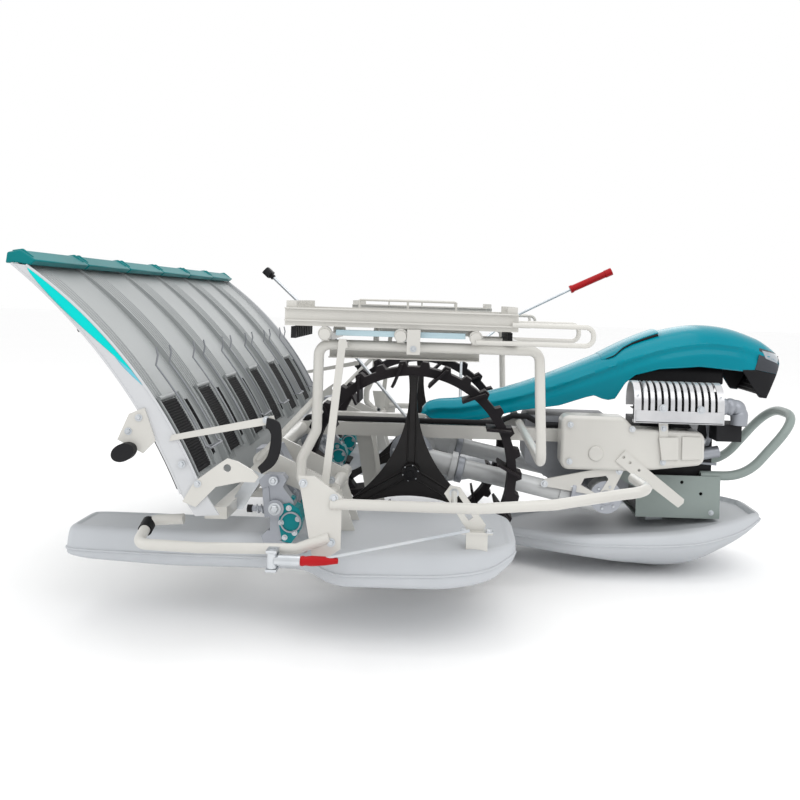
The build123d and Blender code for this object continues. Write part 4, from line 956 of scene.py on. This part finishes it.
def build_spider_beads():
    """Two raised beads along each arm of the wheels' spiders, which close on each other outwards by
    3.5 mm s^2."""
    share = np.linspace(0, 1, 20)
    for side, sign in SIDES:
        beads = []
        for arm in np.radians((90, 210, 330)):
            out = np.array([math.cos(arm), math.sin(arm)])
            over = np.array([-out[1], out[0]])
            for turn in (-1, 1):
                apart = turn * (0.0122 - 0.0035 * share ** 2)
                flat = (0.026 + 0.225 * share)[:, None] * out + apart[:, None] * over
                beads.append(rod(line_at(flat + (AXLE_X, AXLE_Z), sign * 0.3042), 0.0026))
        piece(f"spider_beads_{side}", beads, SPIDER, f"wheel_{side}")


build_caps()
build_leaf_stripes()
build_side_plate_hems()
build_belts()
build_board()
build_hood()
build_grille()
build_fasteners()
build_sleeves()
build_floats()
build_nose()
build_engine_side()
build_planting_details()
build_rack_details()
build_bumper()
for machine_side, side_sign in SIDES:
    build_strap(machine_side, side_sign)
    build_drive(machine_side, side_sign)
build_frame_trim()
build_platform_trim()
build_spider_beads()

# Floor, light and camera
floor_mesh = bpy.data.meshes.new("floor")
floor_mesh.from_pydata([(-30, -30, 0), (30, -30, 0), (30, 30, 0), (-30, 30, 0)], [], [(0, 1, 2, 3)])
floor = add_object("floor", floor_mesh)
floor_mesh.materials.append(
    finish_of("studio_floor", (0.98, 0.98, 0.98), (0.975, 0.975, 0.976), 0.95, cloud=0.6, grain=40, bump=0.01)
)

world = bpy.data.worlds.new("studio")
world.use_nodes = True
world.node_tree.nodes["Background"].inputs["Color"].default_value = (1, 1, 1, 1)
world.node_tree.nodes["Background"].inputs["Strength"].default_value = 1.0
bpy.context.scene.world = world
bpy.context.scene.view_settings.view_transform = "Standard"

LAMPS = (
    # name, place, turn in degrees, width, watts
    ("key", (1.4, -3.0, 3.4), (42, 0, 22), 2.6, 45),
    ("top", (-0.4, 0.2, 4.2), (0, 0, 0), 3.4, 42),
    ("fill", (-3.2, -2.2, 1.8), (70, 0, -58), 2.2, 16),
    ("back", (0.5, 3.6, 2.6), (-60, 0, 0), 2.6, 22),
)
for lamp_name, place, turn, width, watts in LAMPS:
    light = bpy.data.lights.new(lamp_name, "AREA")
    light.energy = watts
    light.size = width
    lamp = add_object(lamp_name, light)
    lamp.location = place
    lamp.rotation_euler = Euler([math.radians(angle) for angle in turn])

PHOTO_SIDE = 800
PHOTO_SCALE = 867.0
OPTICAL_CENTRE = (452.0, 300.0)
ROLL = -1.8
camera_data = bpy.data.cameras.new("photo_view")
camera_data.sensor_width = 36.0
camera_data.lens = camera_data.sensor_width * PHOTO_SCALE / PHOTO_SIDE
camera_data.shift_x = -(OPTICAL_CENTRE[0] - PHOTO_SIDE / 2) / PHOTO_SIDE
camera_data.shift_y = (OPTICAL_CENTRE[1] - PHOTO_SIDE / 2) / PHOTO_SIDE
camera = add_object("photo_view", camera_data)
camera.location = (0.0, -2.9, 0.845)
camera.rotation_euler = Euler((math.radians(90), math.radians(ROLL), 0))
bpy.context.scene.camera = camera
